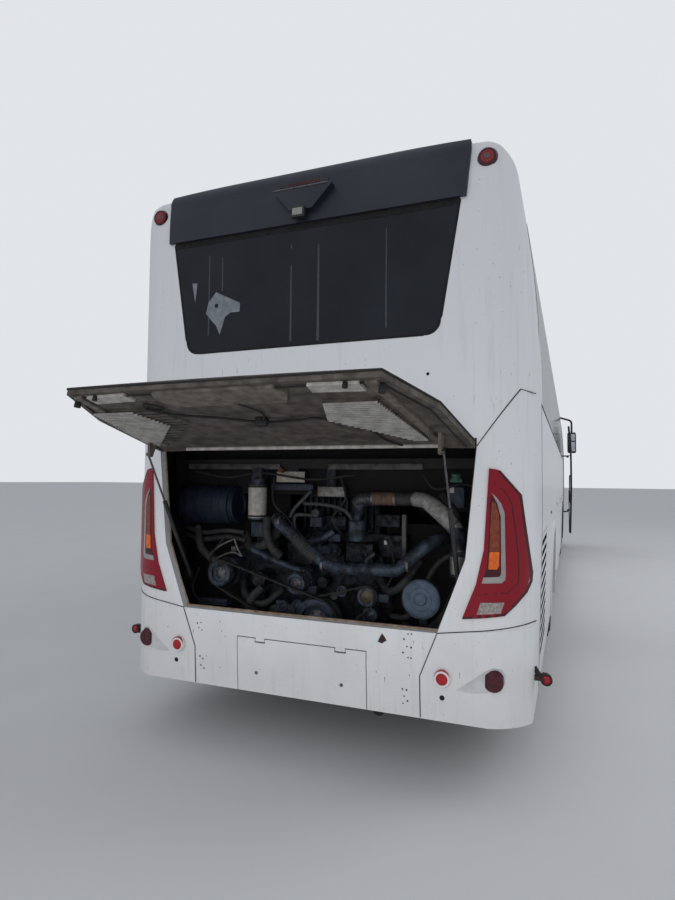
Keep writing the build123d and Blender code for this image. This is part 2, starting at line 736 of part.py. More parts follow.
# Lining inside the lid: pressed ribs, two louvred vents, two bars and the lugs of the struts
lining_skin = envelope(lid_thick + seat_gap) - envelope(lid_thick + lining)
lining_table = {
    "side_rib": [(700.0, 958.0), (748.0, 956.0), (775.0, 712.0), (838.0, 150.0), (800.0, 150.0),
                 (742.0, 700.0)],
    "vent": [(450.0, 765.0), (690.0, 762.0), (780.0, 200.0), (680.0, 232.0), (385.0, 545.0)],
    "bar": [(455.0, 955.0), (675.0, 952.0), (680.0, 872.0), (450.0, 880.0)],
}
vent_slots = [250.0 + step * 44.0 for step in range(12)]
lining_pieces = []
for name, points in lining_table.items():
    corners = [(x, hinge_z - down) for x, down in points]
    piece = lining_skin & right_side(corners, -200.0, 200.0)
    if name == "vent":
        for down in vent_slots:
            piece -= box(400.0, 765.0, 0.0, 200.0, hinge_z - down - 20.0, hinge_z - down)
    lining_pieces += [piece, mirrored(piece)]
pad = across([(300.0, hinge_z - 955.0), (335.0, hinge_z - 880.0), (285.0, hinge_z - 775.0)], -200.0, 200.0)
lining_pieces.append(lining_skin & pad)
lug_z = hinge_z - strut_eye_drop
lug_y = lid_hinge_y + strut_eye_in
lug_thick = 16.0
eye_half = strut_rod + 1.0
lug_x = strut_x - eye_half - seat_gap - lug_thick / 2
lug = prism(Plane.YZ, (0.0, lug_z - 45.0), [(0.0, lug_z + 45.0), (lug_y + 12.0, lug_z + 14.0),
                                            (lug_y + 12.0, lug_z - 14.0)], lug_x - lug_thick / 2,
            lug_x + lug_thick / 2) & envelope(lid_thick + seat_gap)
lining_pieces += [lug, mirrored(lug)]
save("lid_lining", [piece.rotate(lid_axis, -lid_open_deg) for piece in solids_of(lining_pieces)])

# Tow flap hinged along its top edge in the bumper's centre
tow_hinge_z = tow_flap_high_z - hinge_drop
tow_axis_y = 0.5
for at in (-tow_flap_half * 0.62, tow_flap_half * 0.62):
    knuckle, notch, bore = lug_pin("x", at, (tow_axis_y, tow_hinge_z), hinge_size)
    tow_flap = tow_flap - notch - bore
    bumper_centre = bumper_centre + knuckle
save("tow_flap", tow_flap)
save("rear_bumper", bumper_centre, bumper_corner, mirrored(bumper_corner))

# Marker lamps on rubber stalks at the rear corners, with the other rear lamps
marker_x = 1236.0
stalk = cylinder("x", (marker_y, marker_z), 16.0, marker_x, marker_x + marker_reach)
stalk = stalk + cylinder("x", (marker_y, marker_z), 30.0, marker_x + marker_reach, marker_x + marker_reach + 26)
stalk = stalk - outside
save("rear_lamps", *[copy for lamp in (tail_lamp, lamp_drum, fog_drum, top_drum, stalk)
                     for copy in (lamp, mirrored(lamp))])

# Lid struts: each tube swings at its foot, and its rod slides towards the lid's lug
closed_eye = (lug_y, lug_z)
open_eye = (lid_hinge_y + strut_eye_in * cos(lid_swing) - strut_eye_drop * sin(lid_swing),
            hinge_z - strut_eye_in * sin(lid_swing) - strut_eye_drop * cos(lid_swing))
long_run = hypot(open_eye[0] - strut_foot[0], open_eye[1] - strut_foot[1])
short_run = hypot(closed_eye[0] - strut_foot[0], closed_eye[1] - strut_foot[1])
open_dir = Vector(0, (open_eye[0] - strut_foot[0]) / long_run, (open_eye[1] - strut_foot[1]) / long_run)
foot = Vector(strut_x, strut_foot[0], strut_foot[1])
tube_start = foot + open_dir * 10.0
tube_end = foot + open_dir * (short_run - 30.0)
strut = Solid.make_cylinder(strut_tube, (tube_end - tube_start).length,
                            Plane(origin=tube_start, z_dir=open_dir))
strut -= Solid.make_cylinder(strut_rod + 0.3, long_run, Plane(origin=foot + open_dir * 40.0, z_dir=open_dir))
strut += cylinder("x", strut_foot, strut_tube + 1.0, strut_x - 12.0, strut_x + 12.0)
strut -= cylinder("x", strut_foot, strut_pin + bore_gap, strut_x - 20.0, strut_x + 20.0)
eye_point = foot + open_dir * long_run
rod_start = foot + open_dir * (short_run - strut_overlap)
strut_shaft = Solid.make_cylinder(strut_rod, (eye_point - rod_start).length - 4.0,
                                  Plane(origin=rod_start, z_dir=open_dir))
strut_shaft += cylinder("x", open_eye, 11.0, strut_x - eye_half, strut_x + eye_half)
for side in ("left", "right"):
    flip = mirrored if side == "left" else (lambda shape: shape)
    save("strut_tube_" + side, flip(strut))
    save("strut_rod_" + side, flip(strut_shaft))
strut_bracket = cylinder("x", strut_foot, strut_pin, strut_x - 12.0, strut_x + 60.0)
strut_bracket += box(strut_x + 18.0, strut_x + 30.0, strut_foot[0] - 25, strut_foot[0] + 25,
                     strut_foot[1] - 30, strut_foot[1] + 30)

# Floors: the passenger deck, the raised deck over the engine, the platform and the entrance steps
inner_x = skin_x(floor_z - 400.0) - wall - 6.0
deck_end = front_arch[1] + 120.0
deck = box(-inner_x, inner_x, firewall_y + bulkhead, deck_end, floor_z - floor_thick, floor_z)
riser = box(-inner_x, inner_x, firewall_y, firewall_y + bulkhead, floor_z - floor_thick, rear_floor_z)
rear_deck = box(-inner_x + 30, inner_x - 30, cap_depth * 0.5, firewall_y, rear_floor_z - floor_thick,
                rear_floor_z)
platform = box(-inner_x, aisle_edge, deck_end, front_seam_y + 420.0, platform_z - floor_thick, platform_z)
deck_riser = box(-inner_x, aisle_edge, deck_end - bulkhead, deck_end, platform_z - floor_thick, floor_z)
stair_front = door_front_y + 10.0
stairs = [box(x0, x1, deck_end, stair_front, z - stair_depth, z) for x0, x1, z in stair_table]
stair_back = box(aisle_edge, stair_edge, deck_end - bulkhead, deck_end, stair_low_z, floor_z)
rear_deck_wall = box(-inner_x + 30, inner_x - 30, cap_depth * 0.5, cap_depth * 0.5 + 25, rear_floor_z, 2300)
pillar_foot = box(pillar_x - 45.0, pillar_x + 45.0, stair_front - 20.0, pillar_y + 45.0, stair_low_z,
                  door_pillar_low_z - seat_gap)
cabin_floor = join([deck, riser, rear_deck, platform, deck_riser, stair_back, rear_deck_wall, pillar_foot]
                   + stairs)
save("cabin_floor", cabin_floor)

# Bay box: the luggage floor and its three bulkheads
bay_half = inner_x - 20.0
deck_low_z = floor_z - floor_thick
bay_floor = box(-bay_half, bay_half, bay_start, bay_end, bay_floor_z - 20.0, bay_floor_z)
bulkheads = [box(-bay_half, bay_half, y, y + bulkhead, bay_floor_z - 20, deck_low_z)
             for y in (bay_start, (bay_start + bay_end) / 2, bay_end - bulkhead)]
save("bay_box", join([bay_floor] + bulkheads))

# Chassis rails over both axles, with the beam behind the front bumper
rail_sides = [sorted((sign * (rail_x - rail_half), sign * (rail_x + rail_half))) for sign in (-1, 1)]
rails = []
for x0, x1 in rail_sides:
    rails.append(box(x0, x1, cradle_front + seat_gap, bay_start - seat_gap, rail_low_z, rail_high_z))
    rails.append(box(x0, x1, bay_end + seat_gap, front_seam_y + 300.0, rail_low_z, rail_high_z))
rails.append(box(-inner_x + 60, inner_x - 300, front_seam_y + 250, front_seam_y + 310, 560.0, rail_high_z))
chassis_rails = join(rails) - cabin_floor
save("chassis_rails", chassis_rails)

# Engine cradle: low rails, firewall, rear beam with its towing socket, posts and the strut feet
post_x, post_y, post_wide, post_deep = 1095.0, 380.0, 50.0, 80.0
header_z, header_high = 1640.0, 60.0
gear_gap = box(-300.0, 300.0, firewall_y - 10, firewall_y + bulkhead + 10, 600.0, 1080.0)
cradle = [box(-bay_half, bay_half, firewall_y, firewall_y + bulkhead, cradle_high_z, deck_low_z) - gear_gap]
for x0, x1 in rail_sides:
    cradle.append(box(x0, x1, wall + 50, cradle_front, cradle_low_z, cradle_high_z))
    cradle.append(box(x0, x1, cradle_front - 160, cradle_front, cradle_low_z, rail_high_z))
    cradle.append(box(x0, x1, firewall_y, firewall_y + 60, cradle_low_z, rail_high_z))
cradle.append(box(-bumper_seam_x + 10, bumper_seam_x - 10, wall + 2, wall + 70, cradle_low_z - 20,
                  cradle_high_z + 20))
cradle.append(box(-post_x, post_x, post_y, post_y + post_deep, cradle_low_z, cradle_high_z - 40))
cradle.append(box(-post_x, post_x, post_y, post_y + post_deep, header_z, header_z + header_high))
arm_y = strut_foot[0] + 12.0
arm_low, arm_high = strut_foot[1] - 30, strut_foot[1] + 30
side_pieces = [box(post_x, post_x + post_wide, post_y, post_y + post_deep, cradle_low_z,
                   rear_floor_z - floor_thick),
               box(strut_x + 18.0, post_x + 10, arm_y, arm_y + 40, arm_low, arm_high),
               box(post_x, post_x + 10, arm_y, post_y + 10, arm_low, arm_high), strut_bracket]
cradle += side_pieces + [mirrored(piece) for piece in side_pieces]
socket_end = tow_socket_y + tow_socket_length
cradle.append(cylinder("y", (rail_x, tow_socket_z), tow_socket_radius + tow_socket_wall, tow_socket_y,
                       socket_end))
cradle.append(box(rail_x - 20, rail_x + 20, tow_socket_y, socket_end, tow_socket_z, cradle_low_z + 5))
socket_bore = cylinder("y", (rail_x, tow_socket_z), tow_socket_radius, tow_socket_y - 1, socket_end + 1)
engine_cradle = join(cradle) - socket_bore - bumper_centre - bumper_corner - mirrored(bumper_corner)
save("engine_cradle", engine_cradle)


# Seats: rows of double seats on the deck, and the back bench on the raised deck
def seat_row(x0, x1, y, z, reclined):
    """One bench of seats as a single cushion-and-back form, facing forward."""
    back = y - 60.0 if reclined else y
    points = [(y + 60, z + 250), (y + 470, z + 290), (y + 480, z + 430), (y + 110, z + 420),
              (back + 20, z + 1020), (back - 60, z + 1080), (back - 130, z + 1030), (y - 60, z + 300)]
    form = prism(Plane.YZ, points[0], points[1:], x0, x1)
    leg_a = box(x0 + 60, x0 + 110, y + 40, y + 360, z, z + 300)
    leg_b = box(x1 - 110, x1 - 60, y + 40, y + 360, z, z + 300)
    return form + leg_a + leg_b


seat_start = firewall_y + bulkhead + seat_first
seat_rows = 1 + int((deck_end - seat_depth - seat_start) / seat_pitch)
seats = []
for index in range(seat_rows):
    y = seat_start + index * seat_pitch
    seats.append(seat_row(seat_inner, seat_outer, y, floor_z, True))
    seats.append(seat_row(-seat_outer, -seat_inner, y, floor_z, True))
seats.append(seat_row(-seat_outer + 30, seat_outer - 30, firewall_y - 640.0, rear_floor_z, True))
save("seats", seats)

# Driver's place
driver_x = -680.0
driver_y = front_arch[1] + 420.0
wheel_hub_y = driver_y + 620.0
wheel_hub_z = platform_z + 560.0
wheel_reach = 225.0
spoke_reach = wheel_reach - 3.0
dash_outline = [(front_seam_y + 60.0, platform_z), (front_seam_y + 20.0, platform_z + 330.0),
                (front_seam_y + 330.0, platform_z + 430.0), (front_seam_y + 390.0, platform_z)]
dash = prism(Plane.YZ, dash_outline[0], dash_outline[1:], -inner_x + 60.0, 400.0)
column = rod((driver_x, front_seam_y + 120.0, platform_z + 250.0), (driver_x, wheel_hub_y, wheel_hub_z), 32.0)
wheel_plane = Plane(origin=(driver_x, wheel_hub_y, wheel_hub_z), z_dir=(0, -0.6, 0.8))
steering_wheel = Solid.make_torus(wheel_reach, 15.0, wheel_plane)
spokes = [rod(wheel_plane.from_local_coords((-spoke_reach * cos(a), -spoke_reach * sin(a), 0)),
              wheel_plane.from_local_coords((spoke_reach * cos(a), spoke_reach * sin(a), 0)), 11.0)
          for a in (0.35, 2.8)]
driver_seat = seat_row(driver_x - 250.0, driver_x + 250.0, driver_y - 140.0, platform_z, False)
save("driver_place", join([dash, column, steering_wheel] + spokes), driver_seat)


# Running gear: tyres of straight-sided section, dished rims, knuckles, axles and air springs
def tyre_ring(x_centre):
    half = tyre_width / 2
    points = [(half - 20.0, rim_radius), (half, rim_radius + 70.0), (half - 2.0, tyre_radius - 60.0),
              (half - 30.0, tyre_radius - 12.0), (half - 60.0, tyre_radius)]
    outline = points + [(-x, r) for x, r in reversed(points)]
    face = face_on(Plane.XY, outline[0], outline[1:])
    return revolve(face, Axis.X, 360).moved(Location((x_centre, 0, 0)))


def rim_ring(x_centre, dish):
    """Steel rim with its disc; dish is how far the disc stands outboard of the tyre's middle."""
    half = tyre_width / 2
    points = [(-half + 18, rim_radius - 24.0), (-half + 18, rim_radius - seat_gap),
              (half - 18, rim_radius - seat_gap), (half - 18, rim_radius - 24.0),
              (dish, rim_radius - 34.0), (dish + 12.0, 170.0), (dish, 150.0), (dish, hub_radius + 2.0),
              (dish - 14.0, hub_radius + 2.0), (dish - 14.0, 175.0), (dish - 16.0, rim_radius - 44.0)]
    face = face_on(Plane.XY, points[0], points[1:])
    ring = revolve(face, Axis.X, 360)
    for step in range(hand_holes):
        angle = 2 * pi * step / hand_holes
        at = (hand_hole_at * cos(angle), hand_hole_at * sin(angle))
        ring -= cylinder("x", at, hand_hole, dish - 40.0, dish + 40.0)
    return ring.moved(Location((x_centre, 0, 0)))


def hub(x_in, x_out, cap):
    """Hub with its bearing bore and end cap, and the bolt flange."""
    body = cylinder("x", (0, 0), hub_radius + 3.0, x_in, x_out)
    body += cylinder("x", (0, 0), 85.0, x_out, x_out + cap)
    return body - cylinder("x", (0, 0), spindle_radius + bore_gap, x_in - 50, x_out + cap - 12.0)


def at_axle(shape, y):
    return shape.moved(Location((0, y, tyre_radius)))


front_y, rear_y = axle_y["front"], axle_y["rear"]
front_rim = rim_ring(track_x, 105.0) + hub(track_x - 30.0, track_x + 105.0, 30.0)
front_tyre = tyre_ring(track_x)
inner_x_twin = track_x - twin_spacing
rear_rim = join([rim_ring(track_x, -120.0), rim_ring(inner_x_twin, 140.0),
                 hub(inner_x_twin + 60.0, track_x - 80.0, 70.0)])
rear_tyres = [tyre_ring(track_x), tyre_ring(inner_x_twin)]
for side in ("right", "left"):
    flip = mirrored if side == "left" else (lambda shape: shape)
    save("front_rim_" + side, flip(at_axle(front_rim, front_y)))
    save("front_tyre_" + side, flip(at_axle(front_tyre, front_y)))
    save("rear_rims_" + side, flip(at_axle(rear_rim, rear_y)))
    save("rear_tyres_" + side, [flip(at_axle(tyre, rear_y)) for tyre in rear_tyres])

spindle_end = track_x + 105.0 + 30.0 - 16.0
fork_out = kingpin_x + 62.0
king_half = 95.0
knuckle = cylinder("x", (0, 0), spindle_radius, fork_out - 10.0, spindle_end)
knuckle += cylinder("x", (0, 0), 95.0, fork_out - 10.0, track_x - 36.0)
knuckle += box(fork_out - 14.0, fork_out + 24.0, -60, 60, -king_half - 40.0, king_half + 40.0)
for level in (-1, 1):
    z0, z1 = sorted((level * (king_half - 25.0), level * (king_half + 40.0)))
    knuckle += box(kingpin_x, fork_out, -45, 45, z0, z1)
    knuckle += cylinder("z", (kingpin_x, 0), 50.0, z0, z1)
knuckle += cylinder("z", (kingpin_x, 0), kingpin_radius, -king_half - 20.0, king_half + 20.0)
for side in ("right", "left"):
    flip = mirrored if side == "left" else (lambda shape: shape)
    save("knuckle_" + side, flip(at_axle(knuckle, front_y)))
beam = box(-kingpin_x + 110, kingpin_x - 110, -50, 50, -105.0, 35.0)
beam_end = box(kingpin_x - 130.0, kingpin_x, -40, 40, -60, 60) + cylinder("z", (kingpin_x, 0), 46.0, -64, 64)
beam_end -= cylinder("z", (kingpin_x, 0), kingpin_radius + bore_gap, -300, 300)
beam = beam + beam_end + mirrored(beam_end)
spring_x, spring_y, spring_r = 400.0, 260.0, 105.0
seat_arm = box(-spring_x - 90, spring_x + 90, -spring_y - 110, spring_y + 110, -105.0, -75.0)
front_axle = at_axle(beam + seat_arm, front_y)
save("front_axle", front_axle)

tube_end_x = inner_x_twin + 60.0
rear_axle = cylinder("x", (0, 0), axle_tube, -tube_end_x + 6.0, tube_end_x - 6.0)
rear_axle += cylinder("x", (0, 0), spindle_radius, -track_x + 30, track_x - 30)
rear_axle += revolve(face_on(Plane.XY, (-210, 0), [(-210, 90), (-120, 215), (120, 215), (210, 90), (210, 0)]),
                     Axis.X, 360)
rear_axle += box(-spring_x - 90, spring_x + 90, -spring_y - 110, spring_y + 110, -105.0, -60.0)
save("rear_axle", at_axle(rear_axle, rear_y))
springs = []
for y, low_z in ((front_y, -75.0), (rear_y, -60.0)):
    for sx in (-1, 1):
        for sy in (-1, 1):
            z0, z1 = tyre_radius + low_z + seat_gap, rail_low_z - seat_gap
            waist = (z0 + z1) / 2
            face = face_on(Plane.XZ, (0, z0), [(spring_r - 25, z0), (spring_r, z0 + 60), (spring_r - 16, waist),
                                               (spring_r, z1 - 60), (spring_r - 25, z1), (0, z1)])
            springs.append(revolve(face, Axis.Z, 360).moved(Location((sx * spring_x, y + sy * spring_y, 0))))
save("air_springs", springs)


# Engine: block, head, sump and gearbox, with the shaft to the rear axle
block = box(-engine_half, engine_half, engine_face, engine_back, block_low_z, block_high_z)
head_block = box(-230, 300, engine_face + 20, engine_back - 20, block_high_z, head_high_z)
sump = box(-220, 220, engine_face + 40, engine_back - 100, cradle_high_z - 30, block_low_z)
gearbox = cylinder("y", (0, gearbox_z), gearbox_radius, engine_back, gearbox_back)
shaft = rod((0, gearbox_back, gearbox_z), (0, rear_y - 200, tyre_radius + 20), shaft_radius)
mounts = [box(sign * engine_half - 60, sign * engine_half + 60, y, y + 120, cradle_high_z, block_low_z + 60)
          for sign in (-1, 1) for y in (700, 1250)]
mounts = [piece & box(-450, 450, 0, 3000, 0, 3000) for piece in mounts]
rear_axle_piece = at_axle(rear_axle, rear_y)
engine_block = join([block, head_block, sump, gearbox, shaft] + mounts) - engine_cradle - rear_axle_piece
save("engine_block", engine_block)

# Belt drive: x, z, radius, back and front of each pulley
pulley_table = {
    "crank": (4, 721, 135, 200, 320),
    "compressor": (-663, 966, 78, 200, 250),
    "alternator": (-150, 930, 62, 250, 310),
    "roller": (152, 907, 32, 260, 300),
    "tensioner": (316, 891, 54, 230, 280),
    "pump": (330, 784, 44, 250, 300),
    "idler_low": (-239, 786, 34, 260, 300),
    "idler_high": (-140, 797, 36, 260, 300),
    "fan_disc": (666, 928, 106, 110, 150),
}
pulleys = []
for x, z, radius, y0, y1 in pulley_table.values():
    wheel = cylinder("y", (x, z), radius, y0, y1)
    wheel -= cylinder("y", (x, z), radius * 0.72, y0 - 1, y0 + (y1 - y0) * 0.3)
    pulleys.append(wheel)


def belt(low, high, y0, y1):
    """Strip wrapped round two pulleys of the table."""
    (xa, za, ra), (xb, zb, rb) = pulley_table[low][:3], pulley_table[high][:3]
    run = hypot(xb - xa, zb - za)
    along = atan2(zb - za, xb - xa)
    lean = acos((ra - rb) / run)
    thick = 9.0
    rings = []
    for extra in (thick, 0.4):
        pts = []
        for x, z, r, sign in ((xa, za, ra, 1), (xb, zb, rb, 1), (xb, zb, rb, -1), (xa, za, ra, -1)):
            angle = along + sign * lean
            pts.append((x + (r + extra) * cos(angle), z + (r + extra) * sin(angle)))
        far_b = (xb + (rb + extra) * cos(along), zb + (rb + extra) * sin(along))
        far_a = (xa - (ra + extra) * cos(along), za - (ra + extra) * sin(along))
        rings.append(prism(Plane.XZ, pts[0], [pts[1], (far_b, pts[2]), pts[3], (far_a, pts[0])], y0, y1))
    return rings[0] - rings[1]


belts = [belt("crank", "compressor", 205.0, 238.0), belt("crank", "tensioner", 242.0, 276.0)]
save("engine_pulleys", pulleys)
save("drive_belts", [strip - join(pulleys) for strip in belts])

# Engine fittings: housings that hang on the block, the header and the beam
shafts = []
for name, (x, z, radius, y0, y1) in pulley_table.items():
    if name != "fan_disc":
        shafts.append(cylinder("y", (x, z), max(14.0, radius * 0.3), y1, engine_face - 60))
carrier = prism(Plane.XZ, (-760, 880), [(-760, 1050), (-560, 1110), (-300, 1000), (200, 1000), (400, 950),
                                       (400, 740), (60, 620), (-300, 740), (-560, 860)],
                engine_face - 60, engine_face)
compressor = cylinder("y", (-663, 966), 92, 300, engine_face - 60)
alternator = cylinder("y", (-150, 930), 82, 340, engine_face - 60)
disc_post = [cylinder("y", (666, 928), 40, 150, 200), box(646, 686, 160, 200, 560, 928),
             box(646, 686, wall + 70, 200, 560, 600)]
fittings = join([carrier, compressor, alternator] + shafts)
air_drum = cylinder("x", (430, 1392), 131, -1064, -700) + cylinder("x", (430, 1392), 122, -700, -667)
air_drum += box(-post_x, -1060, 400, 460, 1340, 1440)
canister = cylinder("z", (-475, 350), 60, 1309, 1540) + cylinder("z", (-475, 350), 48, 1540, 1570)
canister += box(-510, -440, 330, post_y + 40, 1560, header_z)
relay_box = box(-351, -155, post_y, post_y + 60, 1553, 1617)
relay_box += box(-300, -200, post_y, post_y + 10, 1600, header_z)
data_box = box(-63, 130, post_y, post_y + 30, 1461, 1528) + box(0, 60, post_y, post_y + 10, 1500, header_z)
silver = cylinder("z", (845, 265), 48, 1040, 1180) + box(840, post_x, 255, 275, 1080, 1120)
silver += box(post_x - 20, post_x, 255, post_y, 1080, 1120)
engine_fittings = [fittings, join(disc_post), air_drum, canister, relay_box, data_box, silver]
engine_fittings = [piece - engine_cradle - engine_block for piece in engine_fittings]

# Radiator behind the side grille, and its fan shroud; silencer on the left of the bay
radiator = box(*radiator_box)
radiator_x, radiator_low_z = radiator_box[0], radiator_box[4]
shroud = cylinder("x", shroud_centre, shroud_radius, radiator_x - 90, radiator_x)
shroud -= cylinder("x", shroud_centre, shroud_radius - 20, radiator_x - 100, radiator_x - 10)
radiator_feet = [box(rail_x + rail_half, 1050.0, y, y + 50, cradle_low_z - 30.0, radiator_low_z)
                 for y in (850, 1380)]
radiator_piece = join([radiator, shroud] + radiator_feet) - engine_cradle
save("radiator", radiator_piece)
silencer_x = silencer_centre[0]
silencer = cylinder("y", silencer_centre, silencer_radius, *silencer_span)
silencer += box(silencer_x - 40, -440, 900, 960, cradle_low_z + 20, 620)
tail_pipe = [(silencer_x, y, z) for y, z in ((720, 560), (640, 420), (330, 400), (120, 400))]
silencer += pipe(tail_pipe, [60, 120], tail_pipe_radius)
silencer = silencer - engine_cradle - engine_block
save("silencer", silencer)

# Pipes: radius, bend radii and points
pipe_table = {
    "coolant": (36.0, [70, 200, 90, 90, 110], [(-300, engine_face + 6, 1330), (-290, 225, 1325),
                (86, 225, 1045), (498, 225, 1054), (700, 240, 1230), (800, 700, 1235), (992, 860, 1235)]),
    "intake": (34.0, [55, 50], [(190, 400, 1300), (215, 400, 1440), (560, 390, 1459), (600, 380, 1459)]),
    "insulated": (40.0, [60, 40], [(600, 380, 1459), (640, 340, 1450), (835, 290, 1290), (845, 265, 1180)]),
}
pipes = []
for radius, bends, points in pipe_table.values():
    bends = bends[:len(points) - 2]
    run = pipe(points, bends, radius)
    pipes.append(run - engine_block - engine_cradle - join(engine_fittings) - radiator_piece)
save("engine_fittings", engine_fittings, pipes)
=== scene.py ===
"""Looks of the coach bus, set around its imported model: metres, +X right-hand side, +Y forward, +Z up."""
import json
import random
from math import cos, hypot, pi, radians, sin, sqrt

import bmesh
import bpy
from mathutils import Matrix, Vector
from mathutils.bvhtree import BVHTree

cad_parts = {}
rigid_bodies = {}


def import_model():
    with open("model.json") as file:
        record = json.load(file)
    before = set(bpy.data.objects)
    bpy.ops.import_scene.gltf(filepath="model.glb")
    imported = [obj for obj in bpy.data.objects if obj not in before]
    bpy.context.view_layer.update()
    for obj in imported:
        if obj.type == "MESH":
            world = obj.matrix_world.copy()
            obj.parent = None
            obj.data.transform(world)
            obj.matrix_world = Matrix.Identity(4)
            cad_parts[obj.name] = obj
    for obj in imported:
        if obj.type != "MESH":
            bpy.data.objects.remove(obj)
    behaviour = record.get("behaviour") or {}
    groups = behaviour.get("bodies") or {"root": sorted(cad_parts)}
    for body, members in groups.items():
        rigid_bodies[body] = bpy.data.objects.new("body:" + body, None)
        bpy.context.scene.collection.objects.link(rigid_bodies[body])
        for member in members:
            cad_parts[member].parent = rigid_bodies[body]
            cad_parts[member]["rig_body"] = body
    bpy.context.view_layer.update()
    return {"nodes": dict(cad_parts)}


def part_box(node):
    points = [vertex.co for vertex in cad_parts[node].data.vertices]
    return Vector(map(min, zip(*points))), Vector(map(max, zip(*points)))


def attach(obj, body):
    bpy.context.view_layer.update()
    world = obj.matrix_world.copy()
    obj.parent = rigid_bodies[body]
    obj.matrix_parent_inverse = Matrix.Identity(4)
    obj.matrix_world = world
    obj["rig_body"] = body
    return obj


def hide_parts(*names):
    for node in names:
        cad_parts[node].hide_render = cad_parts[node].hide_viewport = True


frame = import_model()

bpy.context.scene.view_settings.view_transform = "Standard"

# Camera
# A wide phone lens at head height, three metres behind the bus and to the right of its middle.
# Its place and turn put the rear face's corners where the photograph has them. The rear face bows out by
# a few millimetres at its middle, and places on it are measured from the plane that it bows out of.
bow = 0.008
tail_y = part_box("rear_bumper")[0].y + bow
eye = Vector((1.429, tail_y - 3.061, 1.571))
eye_yaw, eye_pitch, eye_roll = radians(21.55), radians(2.86), radians(0.50)
look = Vector((-sin(eye_yaw) * cos(eye_pitch), cos(eye_yaw) * cos(eye_pitch), sin(eye_pitch)))
level = Vector((cos(eye_yaw), sin(eye_yaw), 0.0))
upward = level.cross(look)
side = level * cos(eye_roll) + upward * sin(eye_roll)
upward = upward * cos(eye_roll) - level * sin(eye_roll)
lens = bpy.data.cameras.new("phone_lens")
lens.sensor_fit = "VERTICAL"
lens.sensor_height = 36.0
lens.lens = 23.65
lens.clip_end = 400.0
viewer = bpy.data.objects.new("phone_lens", lens)
viewer.matrix_world = Matrix.Translation(eye) @ Matrix((side, upward, -look)).transposed().to_4x4()
bpy.context.scene.collection.objects.link(viewer)
bpy.context.scene.camera = viewer


# Floor and light
# A pale matt floor without an edge in view, under an even overcast light from all round.
# Soft lamps, behind the rear, high to the right and low behind, give the panels their shading.
def add(finish, kind, inputs=None, **settings):
    """Add a node to a finish; an input is a value, or the output that feeds it."""
    node = finish.node_tree.nodes.new("ShaderNode" + kind)
    for name, value in settings.items():
        setattr(node, name, value)
    for name, value in (inputs or {}).items():
        if isinstance(value, bpy.types.NodeSocket):
            finish.node_tree.links.new(value, node.inputs[name])
        else:
            node.inputs[name].default_value = value
    return node


def feed(finish, name, output):
    """Feed an output into the finish's shader."""
    shader = finish.node_tree.nodes["Principled BSDF"]
    finish.node_tree.links.new(output, shader.inputs[name])


def finish(name, colour, roughness, **sockets):
    """New material, with what is even all over set on its shader."""
    made = bpy.data.materials.new(name)
    made.use_nodes = True
    shader = made.node_tree.nodes["Principled BSDF"]
    shader.inputs["Base Color"].default_value = (*colour, 1.0)
    shader.inputs["Roughness"].default_value = roughness
    for socket, value in sockets.items():
        shader.inputs[socket.replace("_", " ")].default_value = value
    return made


def place_of(made, scale=(1.0, 1.0, 1.0), shift=(0.0, 0.0, 0.0)):
    """Object coordinates, stretched and shifted."""
    spot = add(made, "TexCoord").outputs["Object"]
    return add(made, "Mapping", {"Vector": spot, "Scale": scale, "Location": shift}).outputs["Vector"]


def grain(made, size, detail=5.0, stretch=(1.0, 1.0, 1.0), shift=(0.0, 0.0, 0.0)):
    """Noise whose blots are about size metres across."""
    spot = place_of(made, [s / size for s in stretch], shift)
    return add(made, "TexNoise", {"Vector": spot, "Scale": 1.0, "Detail": detail,
                                  "Roughness": 0.55}).outputs["Fac"]


def ramp(made, value, low, high, out_low=0.0, out_high=1.0):
    """Value from low to high turned into out_low to out_high."""
    return add(made, "MapRange", {"Value": value, "From Min": low, "From Max": high,
                                  "To Min": out_low, "To Max": out_high}).outputs["Result"]


def blend_colours(made, factor, first, second):
    """First colour where the factor is 0, second where it is 1."""
    node = add(made, "Mix", data_type="RGBA")
    for index, value in ((0, factor), (6, first), (7, second)):
        if isinstance(value, bpy.types.NodeSocket):
            made.node_tree.links.new(value, node.inputs[index])
        elif index == 0:
            node.inputs[0].default_value = value
        else:
            node.inputs[index].default_value = (*value, 1.0)
    return node.outputs[2]


def sum_of(made, kind, first, second):
    """Math node on two values."""
    node = add(made, "Math", operation=kind)
    for index, value in enumerate((first, second)):
        if isinstance(value, bpy.types.NodeSocket):
            made.node_tree.links.new(value, node.inputs[index])
        else:
            node.inputs[index].default_value = value
    return node.outputs[0]


def relief(made, height, strength, depth):
    """Bump from a height, fed to the finish's shader."""
    bump = add(made, "Bump", {"Height": height, "Strength": strength, "Distance": depth})
    feed(made, "Normal", bump.outputs["Normal"])


def shown(name, form, made, smooth):
    """Turn a bmesh into an object with its finishes; edges sharper than smooth degrees stay hard."""
    for face in form.faces:
        face.smooth = True
    for edge in form.edges:
        edge.smooth = len(edge.link_faces) == 2 and edge.calc_face_angle(0.0) < radians(smooth)
    mesh = bpy.data.meshes.new(name)
    form.to_mesh(mesh)
    form.free()
    if "custom_normal" in mesh.attributes:
        mesh.attributes.remove(mesh.attributes["custom_normal"])
    for one in (made if isinstance(made, list) else [made]):
        mesh.materials.append(one)
    thing = bpy.data.objects.new(name, mesh)
    bpy.context.scene.collection.objects.link(thing)
    return thing


